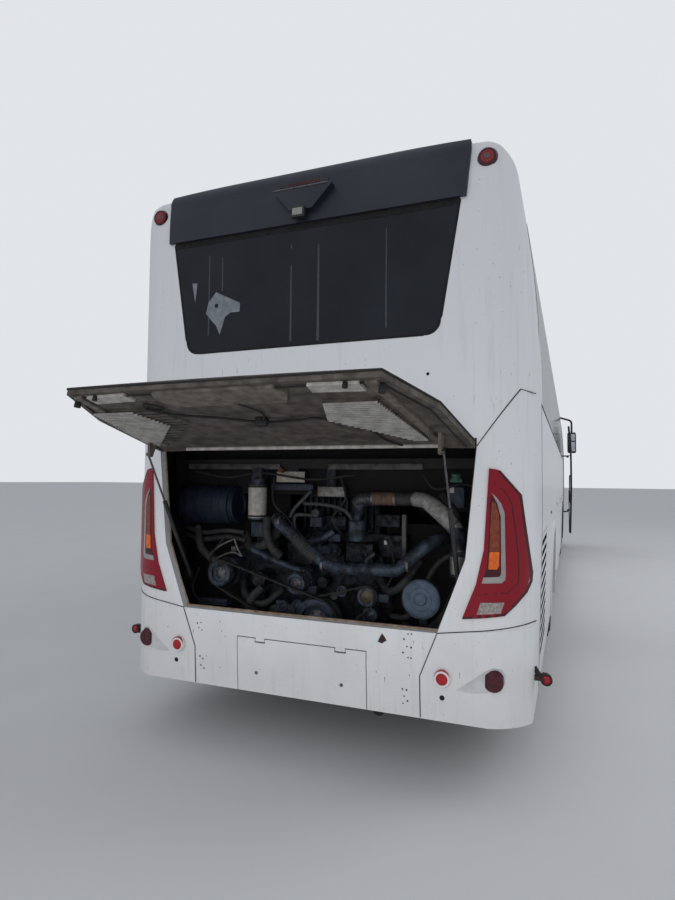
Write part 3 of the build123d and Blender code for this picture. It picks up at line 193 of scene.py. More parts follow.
def piece(name, form, made, body="root"):
    """New piece of trim from a bmesh, with its finish, that rides on a body."""
    bmesh.ops.remove_doubles(form, verts=form.verts, dist=1e-6)
    bmesh.ops.recalc_face_normals(form, faces=form.faces)
    thing = shown(name, form, made, 40.0)
    if body:
        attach(thing, body)
    return thing


floor_form = bmesh.new()
bmesh.ops.create_grid(floor_form, x_segments=1, y_segments=1, size=150.0)
floor_paint = finish("floor_paint", (0.72, 0.72, 0.73), 0.85)
floor_tone = blend_colours(floor_paint, grain(floor_paint, 0.9), (0.70, 0.70, 0.71), (0.76, 0.76, 0.77))
feed(floor_paint, "Base Color", floor_tone)
floor = piece("floor", floor_form, floor_paint, body=None)

sky = bpy.data.worlds.new("overcast")
sky.use_nodes = True
sky_nodes, sky_links = sky.node_tree.nodes, sky.node_tree.links
glow = sky_nodes["Background"]
glow.inputs["Color"].default_value = (0.90, 0.94, 1.0, 1.0)
glow.inputs["Strength"].default_value = 0.50
backdrop = sky_nodes.new("ShaderNodeBackground")
backdrop.inputs["Color"].default_value = (0.76, 0.78, 0.81, 1.0)
seen = sky_nodes.new("ShaderNodeLightPath")
share = sky_nodes.new("ShaderNodeMixShader")
sky_links.new(seen.outputs["Is Camera Ray"], share.inputs[0])
sky_links.new(glow.outputs[0], share.inputs[1])
sky_links.new(backdrop.outputs[0], share.inputs[2])
sky_links.new(share.outputs[0], sky_nodes["World Output"].inputs["Surface"])
bpy.context.scene.world = sky

low_lamp_cone = radians(34.0)
for name, kind, spot, aim, size, power in (
        ("rear_lamp", "AREA", (1.2, tail_y - 11.0, 6.0), (0, tail_y, 0.4), 7.0, 170.0),
        ("side_lamp", "AREA", (10.0, 1.0, 9.0), (1.0, 0.0, 1.5), 9.0, 380.0),
        ("low_lamp", "SPOT", (1.3, tail_y - 8.0, 1.3), (0.1, tail_y, 0.45), 1.0, 520.0)):
    lamp = bpy.data.lights.new(name, kind)
    if kind == "AREA":
        lamp.shape = "DISK"
        lamp.size = size
    else:
        lamp.shadow_soft_size = size
        lamp.spot_size = low_lamp_cone
        lamp.spot_blend = 1.0
    lamp.energy = power
    stand = bpy.data.objects.new(name, lamp)
    stand.visible_glossy = False
    stand.location = spot
    stand.rotation_euler = (Vector(aim) - Vector(spot)).to_track_quat("-Z", "Y").to_euler()
    bpy.context.scene.collection.objects.link(stand)


# White panels
# Sheet and moulded panels in white satin paint, with road film low down, fine black specks,
# faint grey run marks and a few rust runs. Each is a smooth copy of its solid, seams left open.
def dressed(node, made, smooth=32.0, inner=None):
    """Merged, smooth-shaded copy of a solid that stands for it; inner gives a face's finish by its number."""
    source = frame["nodes"][node]
    form = bmesh.new()
    form.from_mesh(source.data)
    bmesh.ops.remove_doubles(form, verts=form.verts, dist=2e-5)
    flat = [e for e in form.edges if len(e.link_faces) == 2 and e.calc_face_angle(1.0) < 1e-4]
    bmesh.ops.dissolve_edges(form, edges=flat, use_verts=False)
    if inner:
        for face in form.faces:
            face.material_index = int(inner(face))
    thing = shown(node + "_skin", form, made, smooth)
    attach(thing, source["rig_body"])
    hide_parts(node)
    return thing


def high(made):
    """Height above the ground."""
    spot = add(made, "TexCoord").outputs["Object"]
    return add(made, "SeparateXYZ", {"Vector": spot}).outputs["Z"]


rim_deep = 0.06


def faces_inward(face):
    """Whether a panel's face looks into the bus; the rim of the engine opening doesn't count."""
    spot = face.calc_center_median()
    rim = abs(spot.y - tail_y) < rim_deep and abs(face.normal.y) < 0.5
    return not rim and spot.x * face.normal.x + 0.2 * spot.y * face.normal.y < -0.1


clean_white, film_top_z, film_low_z = (0.80, 0.81, 0.83), 1.15, 0.35
white = finish("white_paint", clean_white, 0.30, Coat_Weight=0.25, Coat_Roughness=0.12)
ragged = sum_of(white, "ADD", high(white), ramp(white, grain(white, 0.25), 0.3, 0.7, -0.25, 0.25))
film = ramp(white, ragged, film_top_z, film_low_z, 0.0, 0.40)
tone = blend_colours(white, film, clean_white, (0.50, 0.48, 0.45))
runs = ramp(white, grain(white, 0.035, 3.0, (1.0, 1.0, 0.05)), 0.56, 0.78, 0.0, 0.30)
tone = blend_colours(white, runs, tone, (0.50, 0.49, 0.47))
specks = ramp(white, grain(white, 0.016, 2.0), 0.70, 0.76, 0.0, 0.55)
tone = blend_colours(white, specks, tone, (0.26, 0.23, 0.20))
rust_spots = ramp(white, grain(white, 0.03, 4.0, (1.0, 1.0, 0.25), (7.0, 3.0, 1.0)), 0.66, 0.74)
rust_areas = ramp(white, grain(white, 0.5, 2.0, (1.0, 1.0, 1.0), (2.0, 9.0, 4.0)), 0.52, 0.66)
rust = sum_of(white, "MULTIPLY", rust_spots, rust_areas)
feed(white, "Base Color", blend_colours(white, rust, tone, (0.33, 0.17, 0.08)))
feed(white, "Roughness", ramp(white, film, 0.0, 0.55, 0.28, 0.55))
relief(white, grain(white, 0.35, 1.0), 0.08, 0.004)
# Near-black finish for faces that look into the bus, the walls of the grille flap's slots and the bay's back
# panels: partly the bay's black lining, made darker still as painted shade.
liner_and_shade = finish("dark_liner", (0.03, 0.03, 0.032), 0.85)
liner_tone = blend_colours(liner_and_shade, grain(liner_and_shade, 0.06), (0.005, 0.005, 0.006), (0.012, 0.011, 0.010))
feed(liner_and_shade, "Base Color", liner_tone)
slot_border_y, slot_border_z = 0.03, 0.05


def flap_zone(face):
    """Whether a face of the grille flap looks inward or lies within one of its slots."""
    low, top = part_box("grille_flap")
    spot = face.calc_center_median()
    in_slots = (low.z + slot_border_z < spot.z < top.z - slot_border_z
                and low.y + slot_border_y < spot.y < top.y - slot_border_y)
    # Faces in the slots take the near-black finish, as painted shade inside the slots.
    return faces_inward(face) or abs(face.normal.x) < 0.5 and in_slots


sides = (("left", -1), ("right", 1))
bay_flaps = {side_name: [f"bay_flap_{side_name}_{index}" for index in (1, 2, 3)] for side_name, _ in sides}
for node in ["rear_cap", "rear_corners", "rear_bumper", "tow_flap", "roof_panel", "side_wall_left",
             "side_wall_right", "lower_panels", "front_mask", "front_bumper", "service_flap", "grille_flap",
             *bay_flaps["left"], *bay_flaps["right"]]:
    zone = flap_zone if node == "grille_flap" else faces_inward
    dressed(node, [white, liner_and_shade], inner=zone)


# Shapes and dark plastics
# Small pieces are built into one form at a time: blocks, round bars, bent tubes, turned profiles and
# plates that follow the bowed rear skin. Black moulded plastic and rubber serve for most of the trim.
def block(form, low, top, bevel=0.0, segments=2):
    """Block between two corners, with its edges rounded off."""
    verts = bmesh.ops.create_cube(form, size=1.0)["verts"]
    for vert in verts:
        vert.co = [(a + b) / 2 + c * (b - a) for a, b, c in zip(low, top, vert.co)]
    if bevel:
        edges = list({e for v in verts for e in v.link_edges})
        bmesh.ops.bevel(form, geom=edges, offset=bevel, segments=segments, profile=0.5, affect="EDGES",
                        material=-1)


def bar(form, start, end, radius, tip=None, steps=20):
    """Round bar or cone between two points."""
    run = Vector(end) - Vector(start)
    turn = run.to_track_quat("Z", "Y").to_matrix().to_4x4()
    place = Matrix.Translation(Vector(start) + run / 2) @ turn
    bmesh.ops.create_cone(form, cap_ends=True, segments=steps, radius1=radius,
                          radius2=radius if tip is None else tip, depth=run.length, matrix=place)


def flowing(points, steps=6):
    """Points of a smooth line through a few chosen ones."""
    points = [Vector(p) for p in points]
    ends = [2 * points[0] - points[1]] + points + [2 * points[-1] - points[-2]]
    line = []
    for a, b, c, d in zip(ends, ends[1:], ends[2:], ends[3:]):
        for step in range(steps):
            t = step / steps
            line.append(0.5 * (2 * b + (c - a) * t + (2 * a - 5 * b + 4 * c - d) * t * t
                               + (3 * b - a - 3 * c + d) * t ** 3))
    return line + [points[-1]]


def tube(form, points, radius, steps=12, rings=0.0):
    """Bent tube along a line; rings above 0 makes it corrugated by that much."""
    previous = None
    for index, spot in enumerate(points):
        run = points[min(index + 1, len(points) - 1)] - points[max(index - 1, 0)]
        turn = run.to_track_quat("Z", "Y").to_matrix().to_4x4()
        wide = radius + (rings if index % 2 else 0.0)
        ring = bmesh.ops.create_circle(form, cap_ends=index in (0, len(points) - 1), segments=steps,
                                       radius=wide, matrix=Matrix.Translation(spot) @ turn)["verts"]
        edges = [e for e in {e for v in ring for e in v.link_edges} if all(v in ring for v in e.verts)]
        if previous:
            bmesh.ops.bridge_loops(form, edges=previous + edges)
        previous = edges


def turned(form, profile, centre, axis="x", steps=48):
    """Closed profile of (along, out) points spun about an axis through the centre."""
    out = {"x": Vector((0, 0, 1)), "y": Vector((0, 0, 1)), "z": Vector((1, 0, 0))}[axis]
    along = {"x": Vector((1, 0, 0)), "y": Vector((0, 1, 0)), "z": Vector((0, 0, 1))}[axis]
    verts = [form.verts.new(Vector(centre) + along * a + out * r) for a, r in profile]
    edges = [form.edges.new((a, b)) for a, b in zip(verts, verts[1:] + verts[:1])]
    bmesh.ops.spin(form, geom=verts + edges, cent=centre, axis=along, angle=2 * pi, steps=steps,
                   use_merge=True, use_duplicate=False)


def around(count, radius):
    """Points spaced evenly on a circle about (0, 0)."""
    turns = [2 * pi * step / count for step in range(count)]
    return [(radius * cos(turn), radius * sin(turn)) for turn in turns]


def round_hole(x, z, radius):
    """Outline of a small round spot on the rear skin."""
    return [(x + u, z + v) for u, v in around(8, radius)]


pin = 0.0005  # radius left open at the axis of a turned piece
corner_flat, corner_radius, corner_end = 0.951, 0.320, 0.3
turn_z, turn_radius = 3.316, 0.1
lean_z, lean_deep, lean_power = 2.9, 0.045, 1.74
tuck_z, tuck_deep, tuck_high = 0.6, 0.030, 0.41


def rear_y(x, z):
    """How far forward of the rear face the skin lies: round corners, a lean above and a tuck at the foot."""
    past = abs(x) - corner_flat
    plan = bow * (x / corner_flat) ** 2 - bow
    if past > 0:
        plan = corner_radius - sqrt(corner_radius ** 2 - min(past, corner_end) ** 2)
    lean = 0.0
    if z > turn_z:
        lean = lean_deep + turn_radius - sqrt(max(turn_radius ** 2 - (z - turn_z) ** 2, 1e-6))
    elif z > lean_z:
        lean = lean_deep * ((z - lean_z) / (turn_z - lean_z)) ** lean_power
    elif z < tuck_z:
        lean = tuck_deep * (tuck_z - z) / tuck_high
    return max(plan, lean - bow)


def on_skin(x, z, proud):
    """Point that stands proud of the rear skin."""
    near = 0.005
    slope_x = (rear_y(x + near, z) - rear_y(x - near, z)) / (2 * near)
    slope_z = (rear_y(x, z + near) - rear_y(x, z - near)) / (2 * near)
    return Vector((x, tail_y + rear_y(x, z), z)) + Vector((slope_x, -1.0, slope_z)).normalized() * proud


def wrapped(form, points, inner, outer, cell=0.06):
    """Plate with that outline, laid on the rear skin between two heights above it."""
    before = set(form.faces)
    verts = [form.verts.new((x, 0.0, z)) for x, z in points]
    edges = [form.edges.new((a, b)) for a, b in zip(verts, verts[1:] + verts[:1])]
    bmesh.ops.triangle_fill(form, edges=edges, use_beauty=True)
    across, up = (1.0, 0.0, 0.0), (0.0, 0.0, 1.0)
    for direction, values in ((across, [x for x, z in points]), (up, [z for x, z in points])):
        low, top = min(values), max(values)
        cuts = int((top - low) / cell)
        for step in range(1, cuts + 1):
            spot = Vector(direction) * (low + step * (top - low) / (cuts + 1))
            mine = [f for f in form.faces if f not in before]
            geom = mine + list({e for f in mine for e in f.edges}) + list({v for f in mine for v in f.verts})
            bmesh.ops.bisect_plane(form, geom=geom, plane_co=spot, plane_no=direction)
    mine = [f for f in form.faces if f not in before]
    base = list({v for f in mine for v in f.verts})
    flat = {v: (v.co.x, v.co.z) for v in base}
    grown = bmesh.ops.extrude_face_region(form, geom=mine, use_keep_orig=True)["geom"]
    top_verts = [v for v in grown if isinstance(v, bmesh.types.BMVert)]
    for vert in top_verts:
        vert.co = on_skin(vert.co.x, vert.co.z, outer)
    for vert, (x, z) in flat.items():
        vert.co = on_skin(x, z, inner)


def at(x, y, z):
    """Point measured from the rear face."""
    return Vector((x, tail_y + y, z))


def flip_x(points):
    """The same points on the other side of the bus."""
    return [(-x, *rest) for x, *rest in points]


def on_both(form, outline, inner, outer, cell=0.06):
    """The same plate on the right and on the left of the rear skin."""
    wrapped(form, outline, inner, outer, cell)
    wrapped(form, flip_x(outline), inner, outer, cell)


def mottled(name, first, second, rough, size=0.08, **sockets):
    """Finish that wanders between two colours."""
    made = finish(name, first, rough, **sockets)
    feed(made, "Base Color", blend_colours(made, ramp(made, grain(made, size), 0.35, 0.68), first, second))
    return made


plastic = mottled("black_plastic", (0.016, 0.016, 0.018), (0.034, 0.033, 0.033), 0.42, 0.05)
rubber = mottled("black_rubber", (0.012, 0.012, 0.012), (0.030, 0.028, 0.026), 0.75, 0.04)
seam_dark = mottled("seam_shadow", (0.005, 0.005, 0.006), (0.016, 0.015, 0.014), 0.8, 0.03)
steel = mottled("dull_steel", (0.30, 0.29, 0.28), (0.17, 0.14, 0.12), 0.45, 0.03, Metallic=0.8)


# Seams of the rear and the sides
# The panels meet with a sealed gap of about five millimetres, which shows as a thin dark line.
# Each strip lies on the skin over a seam of the solids.
def seam_strip(points, wide=0.0045):
    """Outline of a narrow strip along a line of points."""
    left, right = [], []
    for index, (x, z) in enumerate(points):
        ax, az = points[max(index - 1, 0)]
        bx, bz = points[min(index + 1, len(points) - 1)]
        run = hypot(bx - ax, bz - az)
        nx, nz = -(bz - az) / run * wide / 2, (bx - ax) / run * wide / 2
        left.append((x + nx, z + nz))
        right.append((x - nx, z - nz))
    return left + right[::-1]


seams = bmesh.new()
rear_seams = [[(0.984, 1.748), (1.192, 2.046), (1.262, 2.032)],
              [(0.780, 0.786), (0.948, 0.810), (1.255, 0.850)],
              [(0.779, 0.783), (0.690, 0.560), (0.690, 0.345)]]
for line in rear_seams:
    wrapped(seams, seam_strip(line), 0.0, 0.0030, cell=0.04)
    wrapped(seams, seam_strip(flip_x(line)), 0.0, 0.0030, cell=0.04)
piece("rear_seams", seams, seam_dark)
half_width, skirt_z, shoulder_z, skirt_in = 1.268, 0.340, 1.370, 0.032


def skin_half(z):
    """Half width of the side at a height below the shoulder."""
    return half_width - skirt_in * max(0.0, shoulder_z - z) / (shoulder_z - skirt_z)


def side_strip(form, sign, y, foot, head, thick, wide, lift):
    """Upright strip on a side wall between two (x, z) points of its skin."""
    for vert in bmesh.ops.create_cube(form, size=1.0)["verts"]:
        x, z = head if vert.co.z > 0 else foot
        vert.co = (sign * (x + lift + vert.co.x * thick), y + vert.co.y * wide, z)


side_seams = bmesh.new()
cap_end, nose_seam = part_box("rear_cap")[1].y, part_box("roof_panel")[1].y
cant_x, cant_z = 1.1885, 3.158
edge = [(skin_half(0.36), 0.36), (half_width, shoulder_z), (half_width, 2.0), (1.2535, 2.55), (1.230, 2.85),
        (cant_x + 0.002, cant_z)]
for sign in (-1, 1):
    for seam_y in (cap_end, nose_seam):
        for foot, head in zip(edge, edge[1:]):
            side_strip(side_seams, sign, seam_y, foot, head, 0.002, 0.005, 0.0005)
    block(side_seams, (sign * cant_x - 0.002, cap_end, cant_z),
          (sign * cant_x + 0.003, nose_seam, cant_z + 0.005))
piece("side_seams", side_seams, seam_dark)


# Rear window
# Black-edged tinted pane bonded into the cap, with a peeled patch of film at its left and grey streaks
# of dried water; a black band joins it to the spoiler above.
glass = mottled("dark_glass", (0.008, 0.010, 0.015), (0.014, 0.017, 0.026), 0.08, 0.3,
                Specular_IOR_Level=0.35, Alpha=0.94)
smoke = mottled("glass_film", (0.16, 0.18, 0.21), (0.26, 0.28, 0.31), 0.35, 0.03)
streak = mottled("glass_streak", (0.040, 0.044, 0.052), (0.065, 0.070, 0.080), 0.3, 0.02)
dressed("rear_glass", glass)
film_form = bmesh.new()
patch = [(-0.589, 2.715), (-0.418, 2.631), (-0.421, 2.578), (-0.485, 2.578), (-0.523, 2.555), (-0.539, 2.504),
         (-0.559, 2.45), (-0.584, 2.504), (-0.615, 2.537), (-0.66, 2.586), (-0.644, 2.654)]
wrapped(film_form, patch, 0.0, 0.0006)
wrapped(film_form, [(-0.766, 2.791), (-0.728, 2.786), (-0.743, 2.665)], 0.0, 0.0006)
piece("window_film", film_form, smoke)
hole_form = bmesh.new()
wrapped(hole_form, round_hole(-0.585, 2.63, 0.014), 0.0, 0.0010)
piece("film_hole", hole_form, glass)


def tapered(x, wide, z, far_z, share):
    """Outline of an upright streak, narrowed to a share of its half width at its far end."""
    tip = wide * share
    return [(x - wide, z), (x + wide, z), (x + tip, far_z), (x - tip, far_z)]


streaks = bmesh.new()
for x, low_z, top_z, wide in ((-0.077, 2.37, 2.94, 0.012), (0.096, 2.36, 2.92, 0.016),
                              (0.50, 2.40, 2.95, 0.009), (-0.64, 2.45, 2.95, 0.010),
                              (-0.545, 2.72, 2.93, 0.009)):
    wrapped(streaks, tapered(x, wide / 2, low_z, top_z, 0.6), 0.0, 0.0004, cell=0.2)
piece("window_streaks", streaks, streak)
window_rim = bmesh.new()
rim_line = [(0.0, 2.343), (0.705, 2.343), (0.772, 2.372), (0.803, 2.440), (0.902, 3.050)]
wrapped(window_rim, seam_strip(rim_line, 0.012), 0.0, 0.0015)
wrapped(window_rim, seam_strip(flip_x(rim_line), 0.012), 0.0, 0.0015)
wrapped(window_rim, [(-0.897, 3.022), (0.897, 3.022), (0.902, 3.062), (-0.902, 3.062)], 0.0, 0.002)
piece("window_rim", window_rim, seam_dark)


# Spoiler, brake lamp and camera
# Dark grey moulded spoiler with a red high brake lamp in a black frame at its middle. The tapered housing
# under the lamp has a pale painted highlight along its lip and carries a small square camera in a black case.
spoiler_grey = mottled("spoiler_grey", (0.017, 0.020, 0.032), (0.028, 0.032, 0.048), 0.44, 0.4)
dressed("spoiler", spoiler_grey, smooth=24.0)
spoiler_proud = 0.020
trim = bmesh.new()
wrapped(trim, [(-0.170, 3.300), (-0.158, 3.318), (-0.130, 3.326), (0.118, 3.322), (0.146, 3.308),
               (0.140, 3.294), (0.100, 3.286), (-0.126, 3.288)],
        spoiler_proud - 0.002, spoiler_proud + 0.003)
piece("brake_lamp_frame", trim, plastic)
lamp_red = finish("lamp_red", (0.26, 0.006, 0.016), 0.22, Specular_IOR_Level=0.35)
ribs = add(lamp_red, "TexWave", {"Vector": place_of(lamp_red), "Scale": 60.0, "Distortion": 0.0},
           bands_direction="Z").outputs["Fac"]
feed(lamp_red, "Base Color", blend_colours(lamp_red, ribs, (0.165, 0.004, 0.012), (0.330, 0.008, 0.022)))
lamp_maroon = mottled("lamp_maroon", (0.040, 0.006, 0.010), (0.085, 0.010, 0.016), 0.25, 0.02)
brake = bmesh.new()
for low_z, top_z in ((3.293, 3.302), (3.305, 3.314)):
    wrapped(brake, [(-0.120, low_z), (0.092, low_z), (0.092, top_z), (-0.120, top_z)], spoiler_proud,
            spoiler_proud + 0.0045)
piece("brake_lamp", brake, lamp_maroon)
# Thin pale strip along the housing's lip: a painted highlight.
visor = bmesh.new()
wrapped(visor, [(-0.186, 3.249), (0.162, 3.249), (0.164, 3.256), (-0.188, 3.256)], 0.058, 0.065, cell=0.2)
lip_highlight = mottled("lip_highlight", (0.150, 0.155, 0.165), (0.070, 0.074, 0.082), 0.5, 0.02)
piece("housing_edge", visor, lip_highlight)
camera_form = bmesh.new()
block(camera_form, at(-0.055, -0.068, 3.072), at(0.030, -0.040, 3.136), 0.005)
pale_lens = mottled("camera_lens", (0.34, 0.35, 0.31), (0.24, 0.25, 0.22), 0.2, 0.01)
piece("camera_case", camera_form, plastic)
camera_eye = bmesh.new()
block(camera_eye, at(-0.044, -0.072, 3.084), at(0.018, -0.066, 3.124), 0.002)
piece("camera_eye", camera_eye, pale_lens)


# Tail lamps and the small lamps
# Blade-shaped clusters of dark red lens with a bright light guide, an amber band and a pale reversing
# lamp near the foot; round lamps above and in the bumper, and a marker on a rubber stalk at each side.
guide_pale = mottled("guide_pale", (0.36, 0.34, 0.34), (0.27, 0.25, 0.25), 0.2, 0.05)
guide_red = mottled("guide_red", (0.42, 0.012, 0.018), (0.30, 0.010, 0.014), 0.25, 0.02)
cluster_low_z, cluster_top_z = 0.80, 2.0


def lamp_zone(face):
    """Finish of a lamp's face: 0 in a tall cluster, 1 on a fog or high lamp, 2 on a round bumper lamp."""
    spot = face.calc_center_median()
    if cluster_low_z < spot.z < cluster_top_z:
        return 0
    return 2 if spot.z < cluster_low_z and abs(spot.x) < 0.90 else 1


dressed("rear_lamps", [lamp_red, lamp_maroon, guide_red], inner=lamp_zone)
amber = mottled("amber_lens", (0.85, 0.17, 0.015), (0.66, 0.09, 0.012), 0.2, 0.02)
amber_dim = mottled("amber_dim", (0.26, 0.060, 0.020), (0.17, 0.026, 0.014), 0.25, 0.02)
clear_lens = mottled("clear_lens", (0.42, 0.37, 0.36), (0.20, 0.15, 0.15), 0.15, 0.012)
lens_dark = mottled("lens_dark", (0.062, 0.004, 0.009), (0.036, 0.003, 0.006), 0.25, 0.02)
lamp_parts = {
    "border": (lens_dark, 0.0125, seam_strip(
        [(0.914, 0.878), (1.106, 0.902), (1.150, 0.946), (1.203, 1.010), (1.224, 1.060), (1.227, 1.105),
         (1.205, 1.290), (1.181, 1.500), (1.140, 1.553), (1.086, 1.622)], 0.012)),
    "step": (lens_dark, 0.0125, seam_strip(
        [(1.063, 1.560), (1.110, 1.520), (1.143, 1.455), (1.160, 1.300), (1.172, 1.150), (1.168, 1.060),
         (1.120, 1.010), (0.990, 1.000)], 0.005)),
    "inner": (lens_dark, 0.0130,
              [(1.049, 1.500), (1.092, 1.435), (1.090, 1.100), (1.084, 1.091), (1.013, 1.087), (1.028, 1.129),
               (1.035, 1.229), (1.041, 1.349), (1.043, 1.450)]),
    "light_guide": (guide_pale, 0.0155,
                    [(1.053, 1.510), (1.076, 1.485), (1.095, 1.455), (1.109, 1.410), (1.111, 1.220),
                     (1.113, 1.105), (1.110, 1.075), (1.093, 1.060), (1.004, 1.057), (1.013, 1.087),
                     (1.084, 1.091), (1.093, 1.105), (1.093, 1.220), (1.092, 1.390), (1.076, 1.460)]),
    "amber": (amber, 0.0150, [(1.041, 1.214), (1.085, 1.215), (1.083, 1.145), (1.075, 1.128),
                              (1.035, 1.128)]),
    "amber_high": (amber_dim, 0.0145, [(1.053, 1.465), (1.068, 1.460), (1.084, 1.400), (1.086, 1.350),
                                       (1.085, 1.218), (1.041, 1.217), (1.045, 1.349)]),
    "reverse": (clear_lens, 0.0150, [(0.999, 0.961), (1.106, 0.964), (1.090, 0.910), (0.980, 0.901)]),
}
lens_proud = 0.0110
for part, (made, proud, outline) in lamp_parts.items():
    form = bmesh.new()
    on_both(form, outline, lens_proud, proud, cell=0.04)
    piece("tail_lamp_" + part, form, made)
rims, glows, hubs, high_rims = bmesh.new(), bmesh.new(), bmesh.new(), bmesh.new()
high_lamp, low_lamp = (1.040, 3.262, 0.046, 0.014), (0.808, 0.562, 0.040, -0.020)
for lamp in (high_lamp, low_lamp):
    x, z, radius, face = lamp
    for sign in (-1, 1):
        centre = at(sign * x, face, z)
        turned(high_rims if lamp == high_lamp else rims,
               [(-0.004, radius * 0.99), (0.012, radius * 1.16), (0.012, radius * 0.80),
                (-0.004, radius * 0.76)], centre, "y", 32)
        turned(glows, [(-0.008, pin), (-0.007, radius * 0.6), (-0.002, radius * 0.80), (0.004, radius * 0.80),
                       (0.004, pin)], centre, "y", 32)
        if lamp == high_lamp:
            turned(hubs, [(-0.011, pin), (-0.010, radius * 0.34), (-0.006, radius * 0.38), (-0.006, pin)],
                   centre, "y", 24)
            for u, v in around(12, 0.6 * radius):
                bar(hubs, centre + Vector((u, -0.004, v)), centre + Vector((u, -0.0095, v)), radius * 0.085,
                    steps=8)
piece("round_lamp_rims", rims, white)
piece("high_lamp_rims", high_rims, lamp_maroon)
piece("round_lamp_lenses", glows, guide_red)
lamp_centre = mottled("lamp_centre", (0.085, 0.060, 0.060), (0.150, 0.110, 0.110), 0.3, 0.01)
piece("round_lamp_centres", hubs, lamp_centre)
stalks, stalk_lens = bmesh.new(), bmesh.new()
lens_radius = 0.0215
for sign in (-1, 1):
    head = at(sign * 1.302, 0.200, 0.558)
    tube(stalks, flowing([at(sign * 1.243, 0.215, 0.610), at(sign * 1.262, 0.212, 0.580), head]), 0.013)
    turned(stalks, [(-0.014, lens_radius), (-0.012, 0.0300), (0.020, 0.026), (0.024, pin), (0.006, pin),
                    (0.004, lens_radius)], head, "y", 28)
    turned(stalk_lens, [(-0.016, pin), (-0.014, 0.014), (-0.010, lens_radius), (0.003, lens_radius),
                        (0.003, pin)], head, "y", 28)
piece("marker_stalks", stalks, rubber)
piece("marker_lenses", stalk_lens, guide_red)


# Bumper details
# Teardrop recess round each fog lamp, two quarter-turn latches on the centre flap, stray drilled holes
# in the moulding, a torn rusty hole, and thin rust-brown runs below the engine opening.
stain = mottled("rust_stain", (0.30, 0.17, 0.08), (0.16, 0.08, 0.035), 0.7, 0.01)
recess = bmesh.new()
teardrop = [(0.877, 0.511), (0.917, 0.542), (0.971, 0.581), (1.020, 0.620), (1.062, 0.639), (1.101, 0.629),
            (1.117, 0.599), (1.112, 0.564), (1.085, 0.536), (1.031, 0.515), (0.971, 0.507), (0.917, 0.507)]
shade = mottled("recess_shade", (0.60, 0.61, 0.62), (0.50, 0.50, 0.51), 0.45, 0.05)
on_both(recess, teardrop, 0.0, 0.0016, cell=0.03)
piece("fog_recess", recess, shade)
fog = bmesh.new()
fog_x, fog_z, fog_radius = 1.066, 0.584, 0.043
for sign in (-1, 1):
    spot = on_skin(sign * fog_x, fog_z, 0.0)
    out = (on_skin(sign * fog_x, fog_z, 0.01) - spot).normalized()
    bar(fog, spot - out * 0.01, spot + out * 0.008, fog_radius + 0.003, fog_radius, 32)
    bar(fog, spot + out * 0.008, spot + out * 0.014, fog_radius, 0.026, 32)
piece("fog_lenses", fog, lamp_maroon)
latch = bmesh.new()
latch_z = 0.453
for x in (-0.273, 0.253):
    face = rear_y(x, latch_z)
    bar(latch, at(x, face + 0.004, latch_z), at(x, face - 0.003, latch_z), 0.011, 0.010)
    block(latch, at(x - 0.002, face - 0.005, latch_z - 0.007), at(x + 0.002, face - 0.001, latch_z + 0.007))
piece("flap_latches", latch, steel, body="tow_flap")
holes = bmesh.new()
drilled = [(0.606, 0.739, 0.005), (0.628, 0.767, 0.004), (0.646, 0.769, 0.004), (0.622, 0.702, 0.004),
           (0.644, 0.699, 0.005), (0.601, 0.669, 0.005), (0.628, 0.646, 0.004), (0.644, 0.645, 0.004),
           (0.597, 0.479, 0.005), (0.619, 0.477, 0.005), (0.605, 0.443, 0.004), (0.623, 0.420, 0.005),
           (0.599, 0.405, 0.004), (-0.677, 0.699, 0.005), (-0.652, 0.704, 0.004), (-0.666, 0.673, 0.004),
           (-0.644, 0.661, 0.004), (-0.657, 0.504, 0.005), (-0.636, 0.492, 0.005), (-0.651, 0.451, 0.005),
           (-0.630, 0.435, 0.005), (-0.518, 0.723, 0.003), (-0.506, 0.669, 0.003), (-0.518, 0.452, 0.003),
           (0.731, 2.133, 0.009), (0.805, 0.462, 0.014), (-0.828, 0.463, 0.014)]
for x, z, radius in drilled:
    wrapped(holes, round_hole(x, z, radius), 0.0, 0.0012)
piece("drilled_holes", holes, seam_dark)
torn = bmesh.new()
wrapped(torn, [(0.462, 0.711), (0.475, 0.738), (0.486, 0.757), (0.500, 0.741), (0.512, 0.722),
               (0.486, 0.703)], 0.0, 0.0012)
piece("torn_hole", torn, mottled("torn_rust", (0.075, 0.035, 0.020), (0.020, 0.014, 0.012), 0.8, 0.01))
random.seed(7)
stains = bmesh.new()
for _ in range(9):
    x = random.choice((-1, 1)) * random.uniform(0.43, 0.92)
    z = random.uniform(0.50, 0.755)
    wide, tall = random.uniform(0.0015, 0.003), random.uniform(0.010, 0.035)
    wrapped(stains, tapered(x, wide, z, z - tall, 0.3), 0.0, 0.0006, cell=0.3)
piece("rust_runs", stains, stain)


# Engine lid
# White outside and dull brown-grey inside, with black rubber along its sides and far edge; the lining's
# pressed ribs, louvred vents and two bars are paler, and a black wiring loom crosses it to the lock.
underside = mottled("lid_underside", (0.060, 0.050, 0.041), (0.150, 0.131, 0.113), 0.75, 0.07)
lining_brown = mottled("lining_brown", (0.205, 0.180, 0.152), (0.088, 0.074, 0.061), 0.7, 0.05)
lining_pale = mottled("lining_pale", (0.60, 0.575, 0.53), (0.34, 0.318, 0.285), 0.65, 0.05)
hinge_y, hinge_z, lid_turn = 0.002, 1.772, radians(102.7)


def lid_point(x, down, depth):
    """Point of the open lid, by its distance from the hinge line and depth behind the outer skin."""
    y, z = depth - hinge_y, -down
    return at(x, hinge_y + y * cos(lid_turn) + z * sin(lid_turn),
              hinge_z - y * sin(lid_turn) + z * cos(lid_turn))


def lid_face(face):
    """Finish of a face of the open lid: 0 on top, 1 underneath and round its rim."""
    inward = face.normal.y * cos(lid_turn) - face.normal.z * sin(lid_turn)
    return int(inward > -0.4)


vent_end, vent_flare, vent_far = 0.690, 0.16, 0.762
bars_from = 0.86


